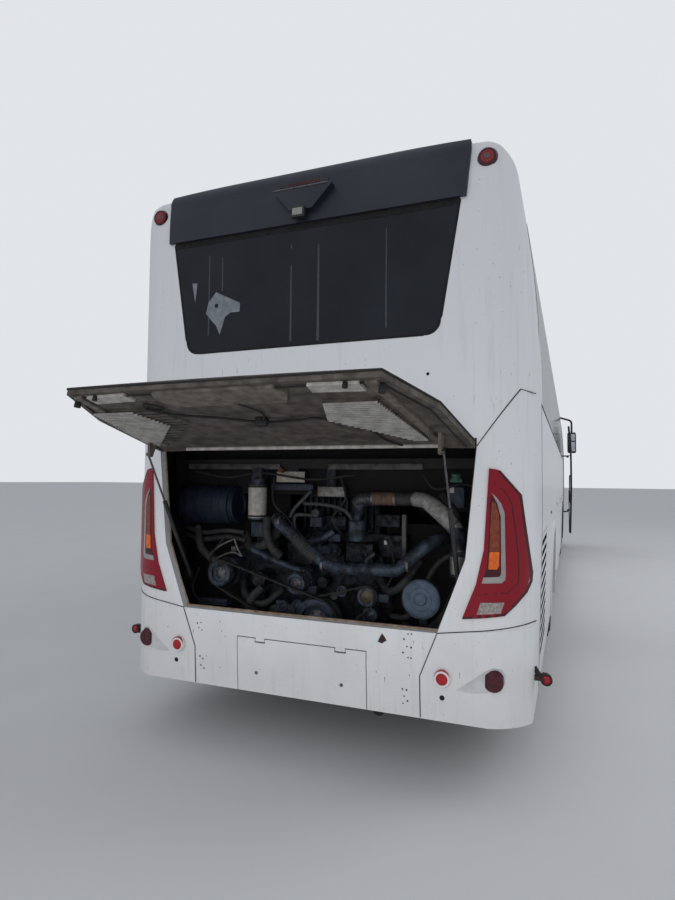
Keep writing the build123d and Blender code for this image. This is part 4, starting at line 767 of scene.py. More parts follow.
def lining_zone(face):
    """Finish of a face of the lining: 0 on its ribs, 1 on the two bars, 2 behind the mesh of the vents."""
    spot = face.calc_center_median() - at(0, hinge_y, hinge_z)
    down = -spot.y * sin(lid_turn) - spot.z * cos(lid_turn)
    if down > bars_from:
        return int(0.44 < abs(spot.x) < 0.69)
    side_edge = vent_end + 0.005 + (vent_far - down) * vent_flare
    return 2 * int(down < vent_far + 0.013 and 0.37 < abs(spot.x) < side_edge)


dressed("engine_lid", [white, underside], inner=lid_face)
dressed("lid_lining", [lining_brown, lining_pale, underside], inner=lining_zone)
mesh_bars = bmesh.new()
bar_pitch, vent_near, vent_waist = 0.0240, 0.205, 0.545
left_vent_shift = 0.115
for step in range(24):
    down = vent_near + step * bar_pitch
    start = 0.385 + (vent_waist - down) * (0.942 if down < vent_waist else -0.295)
    end = vent_end + (vent_far - down) * vent_flare
    for sign, shift, depth in ((1, 0.0, 0.050), (-1, left_vent_shift, 0.054)):
        bar(mesh_bars, lid_point(sign * (start + shift), down, depth),
            lid_point(sign * (end + shift), down, depth), 0.0062, steps=6)
mesh_pale = mottled("mesh_pale", (0.50, 0.49, 0.46), (0.30, 0.285, 0.26), 0.6, 0.05)
piece("vent_mesh", mesh_bars, mesh_pale, body="engine_lid")
lid_low_z, lid_waist_z, lid_waist_high = 0.785, 1.170, 0.575


def lid_half(down):
    """Half width of the lid at a distance from the hinge line."""
    z = hinge_z - down
    if z > lid_waist_z:
        return 0.917 + 0.059 * min((z - lid_waist_z) / lid_waist_high, 1.0)
    return 0.772 + 0.145 * (z - lid_low_z) / (lid_waist_z - lid_low_z)


lid_rubber = bmesh.new()
edge_downs = (0.03, 0.2, 0.4, 0.602, 0.75, 0.9)
foot_half = 0.775
for inset, far, depth, radius in ((0.000, 0.979, 0.004, 0.0055), (0.040, 0.939, 0.038, 0.0040)):
    edge_line = [(inset - lid_half(down), down) for down in edge_downs] + [(inset - foot_half, far)]
    edge_line += flip_x(edge_line)[::-1]
    tube(lid_rubber, [lid_point(x, down, depth) for x, down in edge_line], radius, 8)
piece("lid_edge_rubber", lid_rubber, rubber, body="engine_lid")
pressing = bmesh.new()
for run in (((-0.319, 0.880), (0.290, 0.880), (0.262, 0.755)), ((-0.319, 0.880), (-0.290, 0.760))):
    tube(pressing, [lid_point(x, down, 0.037) for x, down in run], 0.006, 8)
piece("lid_pressings", pressing, lining_brown, body="engine_lid")
hinge_roll = bmesh.new()
tube(hinge_roll, [lid_point(x, 0.055, 0.038) for x in (-0.74, 0.0, 0.82)], 0.011, 12)
piece("lid_hinge_roll", hinge_roll, lining_pale, body="engine_lid")
loom = bmesh.new()
loom_line = [(-0.471, 0.779), (-0.361, 0.683), (-0.16, 0.621), (0.042, 0.537), (0.24, 0.55), (0.36, 0.560),
             (0.524, 0.387), (0.565, 0.193), (0.62, 0.10)]
spare_loop = [(-0.471, 0.79), (-0.43, 0.84), (-0.37, 0.80), (-0.40, 0.74), (-0.47, 0.77)]
lock_branch = [(0.042, 0.537), (0.10, 0.66), (0.05, 0.79)]
for line, depth, radius in ((loom_line, 0.046, 0.0065), (spare_loop, 0.044, 0.005),
                            (lock_branch, 0.044, 0.005)):
    tube(loom, flowing([lid_point(x, down, depth) for x, down in line]), radius, 8)
piece("lid_loom", loom, rubber, body="engine_lid")
lock = bmesh.new()
block(lock, (-0.032, -0.02, -0.016), (0.032, 0.02, 0.016), 0.004)
bmesh.ops.rotate(lock, verts=lock.verts, cent=(0, 0, 0), matrix=Matrix.Rotation(-lid_turn, 3, "X"))
bmesh.ops.translate(lock, verts=lock.verts, vec=lid_point(0.042, 0.555, 0.052))
piece("lid_lock", lock, plastic, body="engine_lid")
knobs = bmesh.new()
for sign in (-1, 1):
    for x, down, end, radius in ((0.76, 0.915, 0.072, 0.014), (0.62, 0.955, 0.060, 0.010)):
        bar(knobs, lid_point(sign * x, down, 0.036), lid_point(sign * x, down, end), radius, radius + 0.002)
piece("lid_buffers", knobs, rubber, body="engine_lid")


# Opening seal
# Weathered rubber round the mouth of the engine bay, beige with rust-brown patches. It is pushed over
# the edge of the panels, down both sides and along the foot.
seal_beige = mottled("seal_beige", (0.34, 0.30, 0.24), (0.20, 0.125, 0.07), 0.7, 0.05)
seal = bmesh.new()
mouth = [(0.777, 0.787), (0.849, 0.963), (0.922, 1.170), (0.952, 1.460), (0.981, 1.744), (0.981, 1.786)]
sill = [(-0.777, 0.790), (0.0, 0.790), (0.777, 0.790)]
for line in (flip_x(mouth), mouth, sill):
    tube(seal, [at(x, 0.046, z) for x, z in line], 0.007, 8)
piece("opening_seal", seal, seal_beige)


# Engine bay
# Blue-grey painted engine with grimy castings behind a belt drive, a ribbed air drum, a white filter
# canister, corrugated and insulated hoses, small control boxes under a cross bar, and black looms.
def grimy(name, paint, grime_colour, rough, size, **sockets):
    """Painted casting: blotches of grime, and small pale specks that are partly scuffs of bare metal and
    partly painted highlights.
    """
    made = finish(name, paint, rough, **sockets)
    tone = blend_colours(made, ramp(made, grain(made, size), 0.42, 0.60), paint, grime_colour)
    # Pale specks: partly scuffs where bare metal shows, partly painted highlights that stand for glints of
    # light on the castings.
    scuffs_and_glints = ramp(made, grain(made, 0.011, 3.0, (1.0, 1.0, 1.6)), 0.62, 0.70, 0.0, 0.5)
    feed(made, "Base Color", blend_colours(made, scuffs_and_glints, tone, [min(3.4 * c + 0.012, 0.3) for c in paint]))
    feed(made, "Roughness", ramp(made, grain(made, size), 0.35, 0.65, rough - 0.12, rough + 0.25))
    relief(made, grain(made, 0.03, 3.0), 0.35, 0.004)
    return made


engine_iron = grimy("engine_iron", (0.021, 0.025, 0.032), (0.004, 0.0045, 0.005), 0.40, 0.035, Metallic=0.4)
engine_blue = grimy("engine_blue", (0.046, 0.061, 0.086), (0.013, 0.016, 0.021), 0.38, 0.05, Metallic=0.3)
drum_navy = mottled("drum_navy", (0.016, 0.024, 0.044), (0.009, 0.012, 0.020), 0.45, 0.08)
frame_black = mottled("frame_black", (0.008, 0.008, 0.009), (0.018, 0.015, 0.013), 0.65, 0.08)
dressed("engine_block", engine_iron)
dressed("engine_pulleys", engine_blue)
dressed("drive_belts", rubber)
wrap_pale = mottled("wrap_pale", (0.36, 0.355, 0.34), (0.17, 0.165, 0.155), 0.5, 0.03, Metallic=0.25)
relief(wrap_pale, grain(wrap_pale, 0.02, 3.0), 0.4, 0.004)


def fitting_zone(face):
    """Finish of a fitting's face: 1 on the air drum, 2 on wide flat covers, 3 on the wrapped hose, else 0."""
    spot = face.calc_center_median()
    if spot.x < -0.63 and spot.z > 1.20:
        return 1
    if spot.x > 0.57 and spot.z > 1.31:
        return 3
    return 2 * int(abs(face.normal.y) > 0.9 and face.calc_area() > 0.004)


engine_finishes = [engine_blue, drum_navy, engine_iron, wrap_pale]
dressed("engine_fittings", engine_finishes, inner=fitting_zone)
for node in ("engine_cradle", "chassis_rails", "bay_box"):
    dressed(node, frame_black)
silencer_steel = mottled("silencer_steel", (0.22, 0.20, 0.18), (0.15, 0.09, 0.055), 0.55, 0.07, Metallic=0.6)
dressed("silencer", silencer_steel)
radiator_metal = mottled("radiator_metal", (0.13, 0.13, 0.13), (0.07, 0.065, 0.06), 0.6, 0.05, Metallic=0.5)
dressed("radiator", radiator_metal)
chrome = mottled("rod_chrome", (0.17, 0.17, 0.18), (0.11, 0.11, 0.11), 0.22, 0.02, Metallic=0.9)
for side_name, _ in sides:
    dressed("strut_tube_" + side_name, plastic)
    dressed("strut_rod_" + side_name, chrome)


def hoop(form, centre, axis, start, inner, end, outer, steps):
    """Band of square section round a pipe or a canister."""
    turned(form, [(start, inner), (start, outer), (end, outer), (end, inner)], centre, axis, steps)


drum = bmesh.new()
drum_y, drum_z = 0.430, 1.392
for x in (-1.045, -0.985, -0.925, -0.865, -0.805, -0.745, -0.690):
    hoop(drum, at(x, drum_y, drum_z), "x", -0.006, 0.124, 0.006, 0.136, 40)
turned(drum, [(0.0, 0.070), (0.012, 0.080), (0.012, 0.110), (0.0, 0.118)],
       at(-0.668, drum_y, drum_z), "x", 40)
piece("air_drum_ribs", drum, drum_navy)
canister_white = mottled("canister_white", (0.46, 0.44, 0.40), (0.30, 0.27, 0.23), 0.45, 0.03)
canister = bmesh.new()
canister_x, canister_y = -0.475, 0.350
turned(canister, [(0.0, pin), (0.0, 0.052), (0.010, 0.061), (0.215, 0.061), (0.228, 0.054), (0.228, pin)],
       at(canister_x, canister_y, 1.311), "z", 40)
piece("filter_canister", canister, canister_white)
bands = bmesh.new()
for z in (1.325, 1.515):
    hoop(bands, at(canister_x, canister_y, z), "z", 0.0, 0.060, 0.012, 0.063, 40)
block(bands, at(-0.520, 0.335, 1.552), at(-0.430, 0.400, 1.580), 0.004)
piece("filter_bands", bands, frame_black)
boxes = bmesh.new()
block(boxes, at(-0.353, 0.376, 1.551), at(-0.153, 0.382, 1.619), 0.002)
beige = mottled("box_beige", (0.36, 0.33, 0.28), (0.25, 0.22, 0.18), 0.55, 0.02)
piece("relay_lid", boxes, beige)
plate_form = bmesh.new()
block(plate_form, at(-0.060, 0.374, 1.464), at(0.127, 0.382, 1.525), 0.002)
for x in (-0.045, 0.112):
    for z in (1.474, 1.515):
        bar(plate_form, at(x, 0.374, z), at(x, 0.371, z), 0.004, steps=10)
piece("control_box_lid", plate_form, steel)
pulleys = {
    "crank": (0.004, 0.721, 0.135),
    "compressor": (-0.663, 0.966, 0.078),
    "alternator": (-0.150, 0.930, 0.062),
    "tensioner": (0.316, 0.891, 0.054),
    "roller": (0.152, 0.907, 0.032),
    "pump": (0.330, 0.784, 0.044),
    "idler_low": (-0.239, 0.786, 0.034),
    "idler_high": (-0.140, 0.797, 0.036),
    "fan_disc": (0.666, 0.928, 0.106),
}
grooves = bmesh.new()
groove_pitch = 0.012
for name, back, count in (("crank", 0.200, 9), ("compressor", 0.200, 5), ("alternator", 0.250, 6),
                          ("tensioner", 0.230, 4)):
    x, z, radius = pulleys[name]
    for step in range(count):
        centre = at(x, back + 0.006 + step * groove_pitch, z)
        turned(grooves, [(0.0, radius - 0.001), (0.002, radius + 0.0025), (0.004, radius - 0.001)],
               centre, "y", 36)
piece("pulley_grooves", grooves, engine_iron)
hub_steel = mottled("hub_steel", (0.20, 0.21, 0.22), (0.10, 0.095, 0.09), 0.4, 0.02, Metallic=0.8)
hub_form = bmesh.new()
for name, face in (("crank", 0.236), ("compressor", 0.215), ("alternator", 0.268), ("roller", 0.272),
                   ("pump", 0.265), ("idler_low", 0.272), ("idler_high", 0.272)):
    x, z, radius = pulleys[name]
    turned(hub_form, [(0.0, pin), (-0.010, pin), (-0.010, radius * 0.22), (-0.003, radius * 0.34),
                      (0.0, radius * 0.5)], at(x, face, z), "y", 28)
    for u, v in around(6, radius * 0.42):
        bar(hub_form, at(x + u, face + 0.002, z + v), at(x + u, face - 0.006, z + v), radius * 0.07, steps=6)
piece("pulley_hubs", hub_form, hub_steel)
disc_blue = mottled("disc_blue", (0.088, 0.122, 0.175), (0.055, 0.074, 0.105), 0.38, 0.03, Metallic=0.3)
disc = bmesh.new()
x, z, radius = pulleys["fan_disc"]
turned(disc, [(0.0, pin), (-0.008, pin), (-0.008, 0.030), (-0.002, 0.036), (-0.002, 0.060), (-0.006, 0.064),
              (-0.006, 0.090), (-0.003, 0.098), (0.004, radius + 0.0005), (0.0, radius + 0.0005)],
       at(x, 0.111, z), "y", 48)
piece("fan_disc_face", disc, disc_blue)
tensioner = bmesh.new()
x, z, radius = pulleys["tensioner"]
turned(tensioner, [(0.0, pin), (-0.008, pin), (-0.008, 0.014), (-0.003, 0.020), (-0.003, 0.042),
                   (0.006, radius - 0.0005), (0.010, 0.050)], at(x, 0.238, z), "y", 32)
brass_dirty = mottled("brass_dirty", (0.185, 0.150, 0.095), (0.085, 0.068, 0.048), 0.5, 0.02, Metallic=0.7)
piece("tensioner_face", tensioner, brass_dirty)
hose_black = mottled("hose_black", (0.016, 0.017, 0.019), (0.040, 0.039, 0.038), 0.6, 0.05)
hoses = bmesh.new()
for radius, points in (
        (0.034, [(-0.62, 0.45, 1.20), (-0.55, 0.40, 1.12), (-0.42, 0.36, 1.15), (-0.34, 0.42, 1.25)]),
        (0.026, [(-0.94, 0.36, 1.24), (-0.86, 0.30, 1.10), (-0.72, 0.33, 1.00), (-0.60, 0.40, 0.93)]),
        (0.024, [(0.33, 0.42, 1.00), (0.42, 0.32, 0.92), (0.52, 0.28, 0.97), (0.60, 0.36, 1.10)]),
        (0.022, [(-0.30, 0.38, 0.86), (-0.40, 0.30, 0.78), (-0.53, 0.32, 0.82), (-0.60, 0.40, 0.90)]),
        (0.020, [(0.50, 0.40, 0.72), (0.62, 0.30, 0.70), (0.74, 0.32, 0.80), (0.80, 0.42, 0.95)]),
        (0.030, [(0.72, 0.42, 1.48), (0.80, 0.36, 1.38), (0.84, 0.36, 1.25)])):
    tube(hoses, flowing([at(*p) for p in points]), radius, 14)
piece("rubber_hoses", hoses, hose_black)
wires = bmesh.new()
for points in ([(-0.95, 0.34, 1.62), (-0.70, 0.33, 1.58), (-0.45, 0.35, 1.61), (-0.10, 0.36, 1.57),
                (0.20, 0.36, 1.60)],
               [(0.10, 0.37, 1.58), (0.14, 0.34, 1.45), (0.05, 0.36, 1.33), (0.10, 0.40, 1.22)],
               [(-0.36, 0.36, 1.58), (-0.33, 0.30, 1.42), (-0.22, 0.32, 1.30), (-0.18, 0.38, 1.15)],
               [(0.62, 0.37, 1.60), (0.70, 0.34, 1.52), (0.86, 0.36, 1.55), (1.00, 0.38, 1.50)],
               [(-0.70, 0.34, 1.20), (-0.78, 0.28, 1.05), (-0.76, 0.30, 0.90), (-0.66, 0.36, 0.78)],
               [(0.40, 0.36, 1.22), (0.46, 0.30, 1.10), (0.44, 0.30, 0.98), (0.36, 0.36, 0.90)],
               [(-0.88, 0.30, 0.98), (-0.90, 0.26, 0.84), (-0.80, 0.30, 0.72), (-0.62, 0.36, 0.68)],
               [(0.95, 0.33, 1.42), (0.96, 0.30, 1.25), (0.92, 0.33, 1.10), (0.97, 0.36, 0.95)]):
    tube(wires, flowing([at(*p) for p in points]), 0.007, 7)
piece("wiring", wires, rubber)
hose_y, hose_z = 0.386, 1.457
collar = bmesh.new()
elbow = [at(0.189, 0.400, 1.420), at(0.215, 0.392, 1.446), at(0.262, 0.388, 1.456), at(0.305, hose_y, hose_z)]
tube(collar, flowing(elbow, 8), 0.036, 24, rings=0.005)
piece("corrugated_elbow", collar, hub_steel)
brown_form = bmesh.new()
tube(brown_form, [at(0.305 + 0.0105 * step, hose_y, hose_z) for step in range(14)], 0.0375, 24, rings=0.0045)
hose_brown = mottled("brown_hose", (0.145, 0.085, 0.055), (0.085, 0.060, 0.045), 0.6, 0.03)
piece("brown_hose", brown_form, hose_brown)
hose_end = bmesh.new()
bar(hose_end, at(0.445, hose_y, 1.458), at(0.560, hose_y, 1.459), 0.041, steps=28)
piece("hose_end", hose_end, hose_black)
wrap_form = bmesh.new()
wrap_line = [at(0.575, 0.372, 1.459), at(0.650, 0.340, 1.446), at(0.745, 0.312, 1.385),
             at(0.825, 0.292, 1.300)]
tube(wrap_form, flowing(wrap_line, 8), 0.0425, 24, rings=0.002)
piece("insulated_hose", wrap_form, wrap_pale)
clips = bmesh.new()
for start, end, radius in (((0.300, hose_y, hose_z), (0.312, hose_y, hose_z), 0.044),
                           ((0.440, hose_y, hose_z), (0.452, hose_y, hose_z), 0.044),
                           ((0.560, 0.384, 1.459), (0.572, 0.381, 1.459), 0.046),
                           ((0.812, 0.296, 1.312), (0.820, 0.293, 1.304), 0.048)):
    bar(clips, at(*start), at(*end), radius, steps=28)
for x, y, z in ((-0.250, 0.230, 1.303), (0.040, 0.225, 1.062), (0.560, 0.230, 1.090)):
    hoop(clips, at(x, y, z), "x", 0.0, 0.037, 0.014, 0.040, 28)
piece("hose_clips", clips, steel)
silver = bmesh.new()
turned(silver, [(0.0, pin), (0.0, 0.042), (0.006, 0.049), (0.100, 0.049), (0.118, 0.040), (0.150, 0.028),
                (0.150, pin)], at(0.845, 0.265, 1.050), "z", 36)
dull_alloy = mottled("dull_alloy", (0.36, 0.36, 0.35), (0.24, 0.23, 0.21), 0.4, 0.03, Metallic=0.7)
piece("silver_canister", silver, dull_alloy)
cap_green = bmesh.new()
bar(cap_green, at(0.816, 0.360, 1.580), at(0.816, 0.352, 1.612), 0.030, 0.026, 24)
block(cap_green, at(0.780, 0.350, 1.560), at(0.850, 0.384, 1.582), 0.004)
piece("filler_cap", cap_green, mottled("cap_green", (0.05, 0.13, 0.09), (0.03, 0.08, 0.06), 0.5, 0.02))
rails = bmesh.new()
for low, top, bevel in (((-1.029, 0.368, 1.634), (-0.326, 0.379, 1.670), 0.002),
                        ((0.013, 0.368, 1.634), (0.616, 0.379, 1.670), 0.002),
                        ((0.498, 0.340, 1.079), (0.523, 0.380, 1.367), 0.003),
                        ((-0.640, 0.300, 1.100), (-0.600, 0.420, 1.130), 0.003)):
    block(rails, at(*low), at(*top), bevel)
bar_grimy = mottled("bar_grimy", (0.115, 0.112, 0.105), (0.035, 0.033, 0.030), 0.55, 0.06, Metallic=0.3)
piece("cross_bars", rails, bar_grimy)
upright = bmesh.new()
dryer_x, dryer_y = 0.233, 0.300
turned(upright, [(0.0, pin), (0.0, 0.045), (0.008, 0.052), (0.118, 0.052), (0.126, 0.045), (0.126, pin)],
       at(dryer_x, dryer_y, 1.202), "z", 36)
hoop(upright, at(dryer_x, dryer_y, 1.328), "z", 0.0, pin, 0.030, 0.022, 24)
bar(upright, at(dryer_x, 0.345, 1.24), at(dryer_x, 0.470, 1.24), 0.020)
piece("dryer_cylinder", upright, engine_blue)
casting = bmesh.new()
random.seed(3)
casting_back, bolt_inset = 0.53, 0.02
for x0, x1, z0, z1, y in ((-0.30, 0.10, 1.02, 1.16, 0.44), (-0.52, -0.36, 1.02, 1.20, 0.42),
                          (0.12, 0.30, 1.06, 1.18, 0.40), (0.36, 0.50, 1.10, 1.24, 0.40),
                          (-0.10, 0.10, 1.24, 1.34, 0.46), (0.30, 0.46, 1.28, 1.36, 0.44),
                          (-0.34, -0.16, 0.62, 0.72, 0.42), (0.20, 0.40, 0.60, 0.70, 0.42),
                          (-0.62, -0.44, 0.72, 0.84, 0.40)):
    block(casting, at(x0, y, z0), at(x1, casting_back, z1), 0.012)
    for _ in range(3):
        x = random.uniform(x0 + bolt_inset, x1 - bolt_inset)
        z = random.uniform(z0 + bolt_inset, z1 - bolt_inset)
        bar(casting, at(x, y + 0.005, z), at(x, y - 0.012, z), 0.011, steps=6)
fin_pitch, fin_thick = 0.042, 0.014
for step in range(12):
    x = -0.21 + step * fin_pitch
    block(casting, at(x, 0.500, 1.250), at(x + fin_thick, 0.545, 1.455), 0.003)
for x, z, radius, length in ((-0.44, 0.93, 0.055, 0.16), (0.44, 1.03, 0.045, 0.12),
                             (0.06, 1.13, 0.050, 0.10), (-0.20, 1.22, 0.040, 0.12),
                             (0.56, 0.82, 0.050, 0.14), (-0.02, 0.93, 0.040, 0.10)):
    bar(casting, at(x, 0.47, z), at(x, 0.47 - length, z), radius, radius * 0.85, 24)
piece("engine_castings", casting, engine_iron)
pipe_grey = mottled("pipe_grey", (0.090, 0.095, 0.105), (0.035, 0.036, 0.040), 0.45, 0.03, Metallic=0.4)
for name, made, radius, rings, runs in (
        ("grey_pipes", pipe_grey, 0.012, 0.0, [
            [(-0.236, 0.345, 1.330), (-0.205, 0.345, 1.385), (-0.091, 0.350, 1.500)],
            [(-0.143, 0.350, 1.418), (0.002, 0.345, 1.414), (0.130, 0.345, 1.385), (0.195, 0.355, 1.308)],
            [(-0.205, 0.355, 1.250), (-0.200, 0.350, 1.340), (-0.080, 0.345, 1.345)],
            [(0.283, 0.340, 1.040), (0.283, 0.335, 1.085), (0.330, 0.345, 1.130)]]),
        ("coolant_pipes", engine_blue, 0.021, 0.0, [
            [(-0.500, 0.340, 1.110), (-0.370, 0.330, 1.066), (-0.191, 0.350, 1.004), (-0.100, 0.390, 0.985)],
            [(-0.130, 0.360, 1.180), (-0.030, 0.345, 1.195), (0.060, 0.360, 1.250)]]),
        ("corrugated_hoses", hose_black, 0.026, 0.0035, [
            [(-0.374, 0.300, 1.330), (-0.372, 0.290, 1.230), (-0.340, 0.300, 1.140), (-0.300, 0.340, 1.080)],
            [(-0.400, 0.300, 0.885), (-0.470, 0.280, 0.810), (-0.470, 0.280, 0.730),
             (-0.350, 0.300, 0.690)]]),
        ("pipe_sleeve", hose_black, 0.041, 0.004, [
            [(-0.135, 0.228, 1.207), (-0.070, 0.227, 1.153), (0.000, 0.226, 1.095)]]),
        ("long_hoses", hose_black, 0.016, 0.0, [
            [(-1.060, 0.390, 1.190), (-0.900, 0.360, 1.160), (-0.704, 0.350, 1.185), (-0.571, 0.370, 1.165)],
            [(-1.060, 0.395, 1.235), (-0.900, 0.370, 1.205), (-0.720, 0.360, 1.225), (-0.590, 0.380, 1.215)],
            [(0.420, 0.380, 0.760), (0.560, 0.330, 0.800), (0.700, 0.340, 1.080), (0.860, 0.370, 1.180)]]),
        ("belt_guard_bars", steel, 0.0065, 0.0, [
            [(-0.821, 0.300, 1.054), (-0.720, 0.295, 1.130), (-0.615, 0.300, 1.179)],
            [(-0.615, 0.300, 1.179), (-0.590, 0.300, 1.120), (-0.563, 0.310, 1.068)],
            [(-0.790, 0.310, 1.030), (-0.640, 0.305, 1.090), (-0.563, 0.310, 1.068)]])):
    form = bmesh.new()
    for run in runs:
        tube(form, flowing([at(*p) for p in run], 10 if rings else 6), radius, 14, rings)
    piece(name, form, made)
slate = mottled("slate_paint", (0.040, 0.052, 0.075), (0.018, 0.022, 0.030), 0.5, 0.03, Metallic=0.2)
brackets = bmesh.new()
for x0, x1, z0, z1, y in ((-0.406, -0.104, 1.497, 1.541, 0.400), (-0.890, -0.665, 0.742, 0.782, 0.300),
                          (-0.150, -0.044, 0.862, 0.910, 0.330), (0.772, 0.860, 1.410, 1.535, 0.370),
                          (0.333, 0.440, 0.858, 0.906, 0.270), (-0.540, -0.440, 1.190, 1.290, 0.380),
                          (-0.110, -0.030, 1.270, 1.335, 0.370), (0.020, 0.100, 1.185, 1.235, 0.360),
                          (-0.040, 0.040, 1.110, 1.160, 0.345), (-0.310, -0.240, 0.690, 0.810, 0.300)):
    block(brackets, at(x0, y, z0), at(x1, y + 0.060, z1), 0.008)
    for x, z in ((x0 + 0.014, z0 + 0.014), (x1 - 0.014, z1 - 0.014)):
        bar(brackets, at(x, y + 0.004, z), at(x, y - 0.008, z), 0.007, steps=6)
for step in range(5):
    x, z = -0.130 + 0.052 * step, 1.215 - 0.014 * step
    bar(brackets, at(x, 0.400, z), at(x, 0.330, z - 0.025), 0.013, 0.010, 12)
piece("engine_brackets", brackets, slate)
faces = bmesh.new()
for x, y, z, radius in ((-0.296, 0.270, 0.749, 0.040), (-0.196, 0.270, 0.758, 0.040),
                        (0.280, 0.280, 0.735, 0.046), (0.098, 0.275, 0.875, 0.024),
                        (-0.060, 0.345, 1.360, 0.024)):
    for ring in (radius, radius * 0.66, radius * 0.34):
        turned(faces, [(0.0, ring - 0.006), (-0.006, ring - 0.004), (-0.006, ring), (0.0, ring)], at(x, y, z),
               "y", 28)
    bar(faces, at(x, y + 0.050, z), at(x, y - 0.001, z), radius, steps=28)
piece("small_pump_faces", faces, pipe_grey)
knob = bmesh.new()
bar(knob, at(-0.309, 0.372, 1.630), at(-0.309, 0.340, 1.630), 0.020, 0.015, 20)
piece("isolator_knob", knob, mottled("knob_red", (0.140, 0.030, 0.018), (0.080, 0.020, 0.014), 0.5, 0.01))
tags = bmesh.new()
block(tags, at(0.775, 0.364, 1.500), at(0.802, 0.371, 1.532), 0.001)
block(tags, at(0.372, 0.394, 1.180), at(0.392, 0.402, 1.205), 0.002)
piece("pale_fittings", tags, canister_white)
alternator_fins = bmesh.new()
fin_ring, fin_half = 0.070, 0.004
x, z, _ = pulleys["alternator"]
for u, v in around(14, fin_ring):
    block(alternator_fins, at(x + u - fin_half, 0.335, z + v - fin_half),
          at(x + u + fin_half, 0.342, z + v + fin_half))
piece("alternator_fins", alternator_fins, hub_steel)
# Near-black panels across the back of the bay and beside the engine, in the darkened liner finish: partly the
# bay's black lining, partly painted shade that keeps the depth of the bay dark.
back_wall = bmesh.new()
bay_half, panel_thick = 1.09, 0.006
for x0, x1, y, z0, z1 in ((-bay_half, bay_half, 0.460, 1.47, 1.795), (-bay_half, -0.34, 0.560, 0.60, 1.47),
                          (0.34, bay_half, 0.560, 0.60, 1.30)):
    block(back_wall, at(x0, y, z0), at(x1, y + panel_thick, z1))
piece("bay_panels_and_shade", back_wall, liner_and_shade)


# Side windows
# Dark tinted panes bonded edge to edge over the pillars, with a black rubber joint between panes and a
# black seal under them along the belt. The windscreen and the door's panes are of the same dark glass.
dressed("glazing", glass)
dressed("door_glass", glass)
joints = bmesh.new()
start_y, end_y = tail_y + 0.820, nose_seam - 0.060
wheel_radius, door_past_axle, door_post = 0.505, 1.020, 0.045
door_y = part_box("front_tyre_right")[0].y + wheel_radius + door_past_axle
pane_count = 7
pane_pitch = (end_y - start_y) / pane_count
belt_z, side_arc = 2.0, 8.665


def side_x(z):
    """Half width of the side above the belt, on the arc by which it leans in."""
    return half_width - side_arc + sqrt(side_arc ** 2 - (z - belt_z) ** 2)


joint_heights = (2.045, 2.37, 2.69, 3.008)
for sign in (-1, 1):
    for index in range(pane_count + 1):
        y = min(start_y + index * pane_pitch, end_y if sign < 0 else door_y - door_post)
        for z0, z1 in zip(joint_heights, joint_heights[1:]):
            side_strip(joints, sign, y, (side_x(z0), z0), (side_x(z1), z1), 0.006, 0.012, -0.003)
piece("pane_joints", joints, rubber)
rub = bmesh.new()
for sign in (-1, 1):
    rub_x, rub_end = sign * (half_width + 0.0005), nose_seam - 0.01 if sign < 0 else door_y - 0.06
    block(rub, (rub_x - 0.004, cap_end + 0.01, 2.026), (rub_x + 0.001, rub_end, 2.040), 0.001)
piece("belt_seal", rub, rubber)


# Side lamps and flap pulls
# Small amber marker lamps on black bases along both walls, and a black plastic grip near the foot of each
# luggage and service flap, which moves with its flap.
marker_z, pull_z = 1.305, 0.430


def side_block(form, x, y, z, inner, outer, long_half, high_half, bevel):
    """Small block let into a side wall at x, with its middle at (y, z), from inner to outer past the skin."""
    sign = 1 if x > 0 else -1
    block(form, (x + sign * inner, y - long_half, z - high_half),
          (x + sign * outer, y + long_half, z + high_half), bevel)


bases, markers = bmesh.new(), bmesh.new()
for x in (-skin_half(marker_z), skin_half(marker_z)):
    for past_tail in (2.40, 4.60, 6.80, 9.00, 10.90):
        y = tail_y + past_tail
        side_block(bases, x, y, marker_z, -0.004, 0.004, 0.046, 0.013, 0.002)
        side_block(markers, x, y, marker_z, -0.002, 0.009, 0.038, 0.009, 0.003)
piece("side_marker_bases", bases, plastic)
piece("side_marker_lenses", markers, amber)
for side_name, sign in sides:
    for node in bay_flaps[side_name] + ["service_flap"] * (sign < 0):
        flap_low, flap_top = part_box(node)
        x, y = sign * skin_half(pull_z), (flap_low.y + flap_top.y) / 2
        pull = bmesh.new()
        side_block(pull, x, y, pull_z, -0.004, 0.002, 0.060, 0.018, 0.002)
        side_block(pull, x, y, pull_z - 0.006, 0.0, 0.004, 0.045, 0.004, 0.001)
        piece(node + "_pull", pull, plastic, body=node)


# Front door
# Black glazed leaf standing open and forward on two cranked arms, with rubber low down on both its edges
# and a looped grey handrail inside.
dressed("door_leaf", plastic)
dressed("door_pillar", plastic)
leaf_low, leaf_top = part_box("door_leaf")
handrail = bmesh.new()
rail_x, rail_y = leaf_low.x + 0.075, (leaf_low.y + leaf_top.y) / 2
loop = [(0.030, -0.30, 1.05), (-0.012, -0.30, 1.10), (-0.016, -0.30, 1.60), (-0.012, -0.22, 1.70),
        (-0.012, -0.08, 1.72), (0.030, -0.05, 1.72)]
tube(handrail, flowing([(rail_x + x, rail_y + y, z) for x, y, z in loop]), 0.013, 12)
rail_grey = mottled("rail_grey", (0.30, 0.31, 0.31), (0.22, 0.22, 0.22), 0.35, 0.05, Metallic=0.7)
piece("door_handrail", handrail, rail_grey, body="door_leaf")
door_seal = bmesh.new()
seal_half = 0.006
for y in (leaf_low.y + seal_half, leaf_top.y - seal_half):
    block(door_seal, (leaf_low.x + 0.034, y - seal_half, leaf_low.z + 0.02),
          (leaf_low.x + 0.050, y + seal_half, leaf_low.z + 1.0))
piece("door_seal", door_seal, rubber, body="door_leaf")


